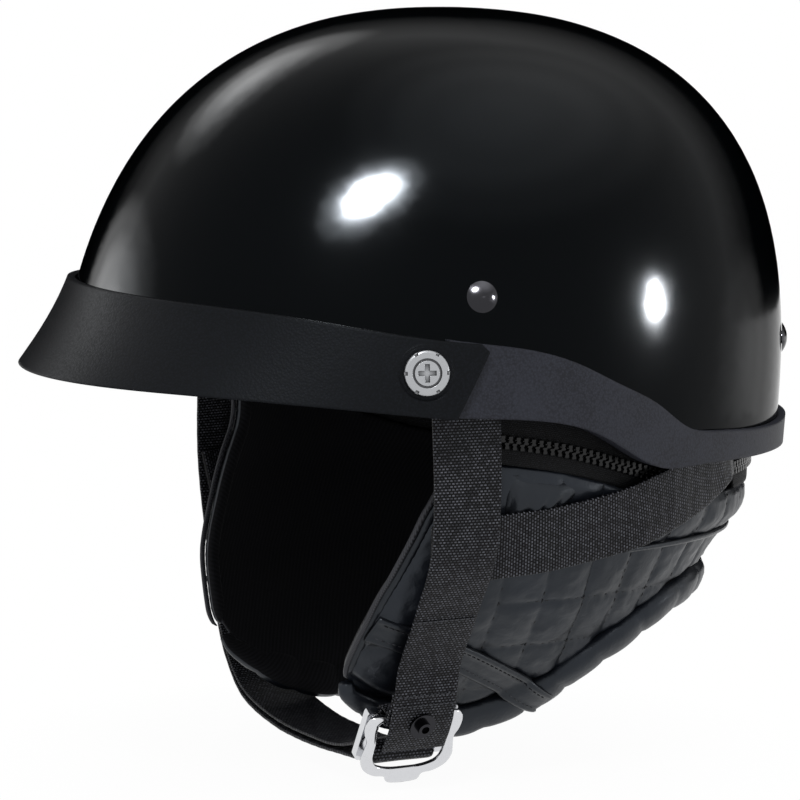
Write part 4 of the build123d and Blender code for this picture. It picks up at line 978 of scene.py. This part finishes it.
def bandFrame(at, high):  # the hem roll lifts the band off the cover
    up = (at.y - heightAt(bottomEdge, at.x) - hem["height"] * 0.42) / (hem["height"] * 0.62)
    lift = band["lift"] + band["over"] * math.sqrt(max(0.0, 1 - up * up))
    return flankFrame(at, lift + high * band["thick"])


for label, lower, sign in sides:
    rings, spots = [], []
    for k, spot in enumerate(bandLine):
        ahead = heading(bandLine, k)
        up = Vector((-ahead.y, ahead.x))
        rings.append([onSide(sign, bandFrame(spot + up * a * band["width"], b)[0]) for a, b in band["profile"]])
        if k % 2 and 1 < k < len(bandLine) - 2:
            for a in band["stitchRows"]:
                at = spot + up * a * band["width"]
                point, out = bandFrame(at, band["face"])
                along = (bandFrame(at + ahead * mm(1), band["face"])[0] - point).normalized()
                spots.append([onSide(sign, v) for v in (point, along, out)])
    tubeMesh("coverBand" + label, rings, 1.2, edgeLeather, node="cover_band_" + lower)
    stitchRow("bandStitches" + label, spots, band["stitch"], band["radius"])

# Puffed pocket flap in front of the zip, gathered along its lower edge
pocket = {"corners": side([(-.03, .068), (.20, .035), (.10, -.03), (-.03, -.055)]), "rise": mm(3.2), "grid": 36,
          "sunk": mm(1.6), "under": mm(-0.4), "gather": mm(0.9), "drift": mm(0.5)}


def pocketCell(j, i, sign):
    a, b, c, d = [Vector(p) for p in pocket["corners"]]
    s, t = (i if sign > 0 else pocket["grid"] - i) / pocket["grid"], j / pocket["grid"]
    at = (a * (1 - s) + b * s) * (1 - t) + (d * (1 - s) + c * s) * t
    dome = (math.sin(math.pi * s) * math.sin(math.pi * t)) ** 0.6
    drift = noise.noise(Vector((s * 3, t * 2, 0)))
    gather = pocket["gather"] * t ** 1.5 * math.sin(s * 30 + 2 * drift) * min(1, 4 * (1 - t), 6 * s, 6 * (1 - s))
    out = (pocket["rise"] + pocket["sunk"]) * dome - pocket["sunk"] + gather + pocket["drift"] * drift * dome
    return (onSide(sign, flankFrame(at, out)[0]), onSide(sign, flankFrame(at, pocket["under"])[0]),
            (at.x * 1000, at.y * 1000))


for label, lower, sign in sides:
    outside, inside, flat = grids(pocket["grid"], pocket["grid"], pocketCell, sign)
    flap = sheetMesh("pocketFlap" + label, outside, inside, flat, edgeLeather, node="pocket_flap_" + lower)
print("band and pocket made")

# Comfort pads: crowned, sewn in panels
headPad = {"out": mm(-26.3), "thick": mm(7.0), "panels": 10, "low": mm(3.6), "high": mm(37.6), "count": 200,
           "level": mm(20)}
rings, uvs = [], []
for i in range(headPad["count"]):
    turn = 2 * math.pi * i / headPad["count"]
    base = heightAt(rimLine, shellPoint(turn, headPad["level"], headPad["out"], girth(headPad["level"])).y)
    middle, tall = base + (headPad["low"] + headPad["high"]) / 2, headPad["high"] - headPad["low"]
    seam = 0.45 + 0.55 * hump(i * headPad["panels"] / headPad["count"])
    ring = []
    for deep, rise in softSection(20, 1.0, 1.0, 0.6):
        z = middle + rise * tall
        inward = (0.5 - deep) * headPad["thick"] * (seam if deep < 0 else 1)
        ring.append(shellPoint(turn, z, headPad["out"] - inward, girth(z)))
    rings.append(ring)
    uvs.append([(i * 3, n * 4) for n in range(20)])
headBand = tubeMesh("headBand", rings, uvs, tricot, closed=True, node="head_band")

crown = {"out": mm(-26.3), "thick": mm(6.0), "low": mm(96), "rows": 26, "columns": 96, "pitch": mm(24)}
crownTop = shell["height"] + crown["out"]


def domePoint(turn, z, out):
    high = shell["height"] + out
    level = min(z / crownTop * high, high * 0.9995)
    return shellPoint(turn, level, out, girth(level, high))


def crownCell(j, i):
    z = crown["low"] + (crownTop - crown["low"]) * (1 - (1 - j / crown["rows"]) ** 2)
    turn = 2 * math.pi * i / crown["columns"]
    spot = domePoint(turn, z, crown["out"])
    puff = 0.55 + 0.45 * hump(spot.x / crown["pitch"] + 0.5) * hump(spot.y / crown["pitch"])
    under = domePoint(turn, z, crown["out"] - crown["thick"] * puff * min(1, 0.15 + j / 3))
    return under, spot, (spot.x * 1000, spot.y * 1000)


under, over, flat = grids(crown["rows"], crown["columns"], crownCell)
crownPad = sheetMesh("crownPad", under, over, flat, tricot, node="crown_pad")
print("pads made")

# Camera at the photograph's viewing angle
view = {"azimuth": 63.5, "elevation": 8.0, "target": (0.00840, 0.0, 0.02658), "distance": 1.8, "lens": 219.7}
az, el = math.radians(view["azimuth"]), math.radians(view["elevation"])
toCamera = Vector((math.sin(az) * math.cos(el), -math.cos(az) * math.cos(el), math.sin(el)))
cameraData = bpy.data.cameras.new("productCamera")
cameraData.lens = view["lens"]
cameraData.sensor_width = 36
camera = addObject("productCamera", cameraData)
camera.location = Vector(view["target"]) + toCamera * view["distance"]
camera.rotation_euler = toCamera.to_track_quat("Z", "Y").to_euler()
scene.camera = camera


# Light: a key and a rear softbox, a strip for the front edge, and gloss lamps that only the lacquer takes
def softbox(name, spot, target, wide, tall, power, shape="ELLIPSE", roll=0, only=()):
    data = bpy.data.lights.new(name, "AREA")
    data.shape = shape
    data.size, data.size_y, data.energy = wide, tall, power
    lamp = addObject(name, data)
    lamp.location = spot
    turned = (Vector(spot) - Vector(target)).to_track_quat("Z", "Y") @ Quaternion((0, 0, 1), math.radians(roll))
    lamp.rotation_euler = turned.to_euler()
    lamp.visible_camera = False
    if only:
        takers = bpy.data.collections.new(name + "Takers")
        for node in only:
            takers.objects.link(nodes[node])
        lamp.light_linking.receiver_collection = takers
    return lamp


keySpot, keyAim = Vector((0.750, -0.474, 1.012)), Vector((0.08, -0.05, 0.11))
rearSpot, rearAim = Vector((0.736, 1.068, 0.178)), Vector((0.10, 0.055, 0.07))
glossy = ("outer_shell", "strap_rivets")
softbox("keySoftbox", keySpot, keyAim, 0.48, 0.32, 7)
softbox("rearSoftbox", rearSpot, rearAim, 0.15, 0.17, 1)
softbox("frontStrip", (-1.25, -0.88, 0.42), (0, -0.1, 0.07), 0.45, 1.0, 3, "RECTANGLE",
        only=("peak", "edge_trim", "peak_screws"))

# Gloss lamps for the lacquer, brightest in the middle and soft to the edge
glossLamps = {  # place, aim, roll, width, height, radiance, then brightness shares from the middle to the edge
    "key": (keySpot, keyAim, 33, 0.8, 0.54, 2500, ((0.36, 1.0), (0.46, 0.42), (0.56, 0.1), (0.72, 0.022))),
    "rear": (rearSpot, rearAim, 0, 0.22, 0.26, 4200, ((0.34, 1.0), (0.46, 0.3), (0.6, 0.03))),
    "crown": ((-0.972, -0.2, 0.975), (0.016, -0.07, 0.143), 0, 1.25, 0.62, 26, ((0.1, 1.0), (0.4, 0.55), (0.7, 0.18))),
    "brow": ((-0.955, -0.945, 0.225), (0.008, -0.113, 0.078), 0, 1.6, 0.85, 44, ((0.1, 1.0), (0.4, 0.5), (0.7, 0.15))),
    "ceiling": ((0.43, 0.42, 1.29), (0.081, 0.003, 0.135), 0, 2.6, 2.2, 8, ((0.1, 1.0), (0.4, 0.7), (0.7, 0.25))),
    "nape": ((0.005, 0.89, -0.035), (0.084, 0.102, 0.041), 0, 0.5, 0.42, 3, ((0.1, 1.0), (0.5, 0.5))),
}
nearer = 0.03  # share of the way to the helmet, so that a gloss lamp stands in front of its softbox
for label, (spot, aim, roll, wide, tall, radiance, shares) in glossLamps.items():
    lamp = softbox(label + "Gloss", Vector(spot).lerp(Vector(aim), nearer), aim, wide, tall,
                   radiance * math.pi / 4 * wide * tall, roll=roll, only=glossy)
    lamp.visible_diffuse = False
    lamp.data.use_nodes = True
    tree = lamp.data.node_tree
    across = addNode(tree, "NewGeometry").outputs["Parametric"]
    apart = addNode(tree, "VectorMath", {0: across, 1: (0.5, 0.5, 0)}, operation="DISTANCE").outputs["Value"]
    dim = addNode(tree, "ValToRGB", {"Fac": maths(tree, "MULTIPLY", apart, 2.0)})
    dim.color_ramp.interpolation = "EASE"
    dim.color_ramp.elements[0].color = (1, 1, 1, 1)
    dim.color_ramp.elements[1].color = (0, 0, 0, 1)
    for at, level in shares:
        dim.color_ramp.elements.new(at).color = (level, level, level, 1)
    tree.links.new(dim.outputs["Color"], tree.nodes["Emission"].inputs["Color"])

# Black flag behind the helmet, seen only in its gloss: it darkens the outline and fades out to its edge
flag = {"distance": 1.6, "dark": 1.02, "reach": 2.3, "stretch": 1.65, "aside": 0.15, "centre": (0, 0.02, 0.05),
        "fade": ((0.6, 0.16), (0.78, 0.5))}
sideways = Vector((math.cos(az), math.sin(az), 0))
upright = toCamera.cross(sideways)
centre = Vector(flag["centre"]) - toCamera * flag["distance"] + sideways * flag["aside"]
outline = [(flag["reach"] * c, flag["reach"] * s) for c, s in circle(48)]
flagData = bpy.data.meshes.new("blackFlag")
flagPoints = [centre + sideways * a * flag["stretch"] + upright * b for a, b in outline]
flagData.from_pydata(flagPoints, [], [tuple(range(len(outline)))])
flagMap = flagData.uv_layers.new(name="UVMap")
for k, spot in enumerate(outline):
    flagMap.data[k].uv = spot
felt, tree, shader = newMaterial("blackFelt", "#030303", 1.0, Specular_IOR_Level=0.0)
dress(tree, shader, Base_Color=ramp(tree, cloud(tree, mm(4)), "#020202", "#050505"))
apart = addNode(tree, "VectorMath", {0: place(tree, "UV")}, operation="LENGTH").outputs["Value"]
fade = addNode(tree, "ValToRGB", {"Fac": maths(tree, "DIVIDE", apart, flag["reach"])})
fade.color_ramp.elements[0].position = flag["dark"] / flag["reach"]
for share, level in flag["fade"]:
    fade.color_ramp.elements.new(share).color = (level, level, level, 1)
mixShaders(tree, "Material Output", fade.outputs["Color"], shader, addNode(tree, "BsdfTransparent"))
flagData.materials.append(felt)
blackFlag = addObject("blackFlag", flagData)
for ray in ("camera", "diffuse", "shadow", "transmission"):
    setattr(blackFlag, "visible_" + ray, False)

# White room: white to the camera and in reflections, and a plain low light on the object
world = bpy.data.worlds.new("whiteRoom")
scene.world = world
world.use_nodes = True
tree = world.node_tree
room = addNode(tree, "Background", {"Color": (0.94, 0.97, 1, 1), "Strength": 0.42})
paper = addNode(tree, "Background", {"Color": (1, 1, 1, 1), "Strength": 1.0})
mixShaders(tree, "World Output", seenRays(tree), room, paper)

# Floor: white card that fades into the room away from the helmet and keeps its shadow
floor = {"gap": mm(1), "size": 6.0}
card, tree, shader = newMaterial("whiteCard", "#f6f6f6", 0.9, Specular_IOR_Level=0.1)
dress(tree, shader, Base_Color=ramp(tree, cloud(tree, mm(3), Detail=3.0), "#f2f2f2", "#fafafa"))
apart = addNode(tree, "VectorMath", {0: place(tree)}, operation="LENGTH").outputs["Value"]
fade = addNode(tree, "MapRange", {"Value": apart, "From Min": 0.06, "From Max": 0.2, "To Min": 0.94}).outputs["Result"]
glow = addNode(tree, "Emission", {"Color": (1, 1, 1, 1), "Strength": 1.0})
mixShaders(tree, "Material Output", maths(tree, "MULTIPLY", seenRays(tree), fade), shader, glow)
low, reach = cadBox[0][2] - floor["gap"], floor["size"]
data = bpy.data.meshes.new("floorCard")
data.from_pydata([(-reach, -reach, low), (reach, -reach, low), (reach, reach, low), (-reach, reach, low)], [],
                 [(0, 1, 2, 3)])
data.materials.append(card)
floorCard = addObject("floorCard", data)

scene.view_settings.view_transform = "Standard"
print("camera, light and floor made")
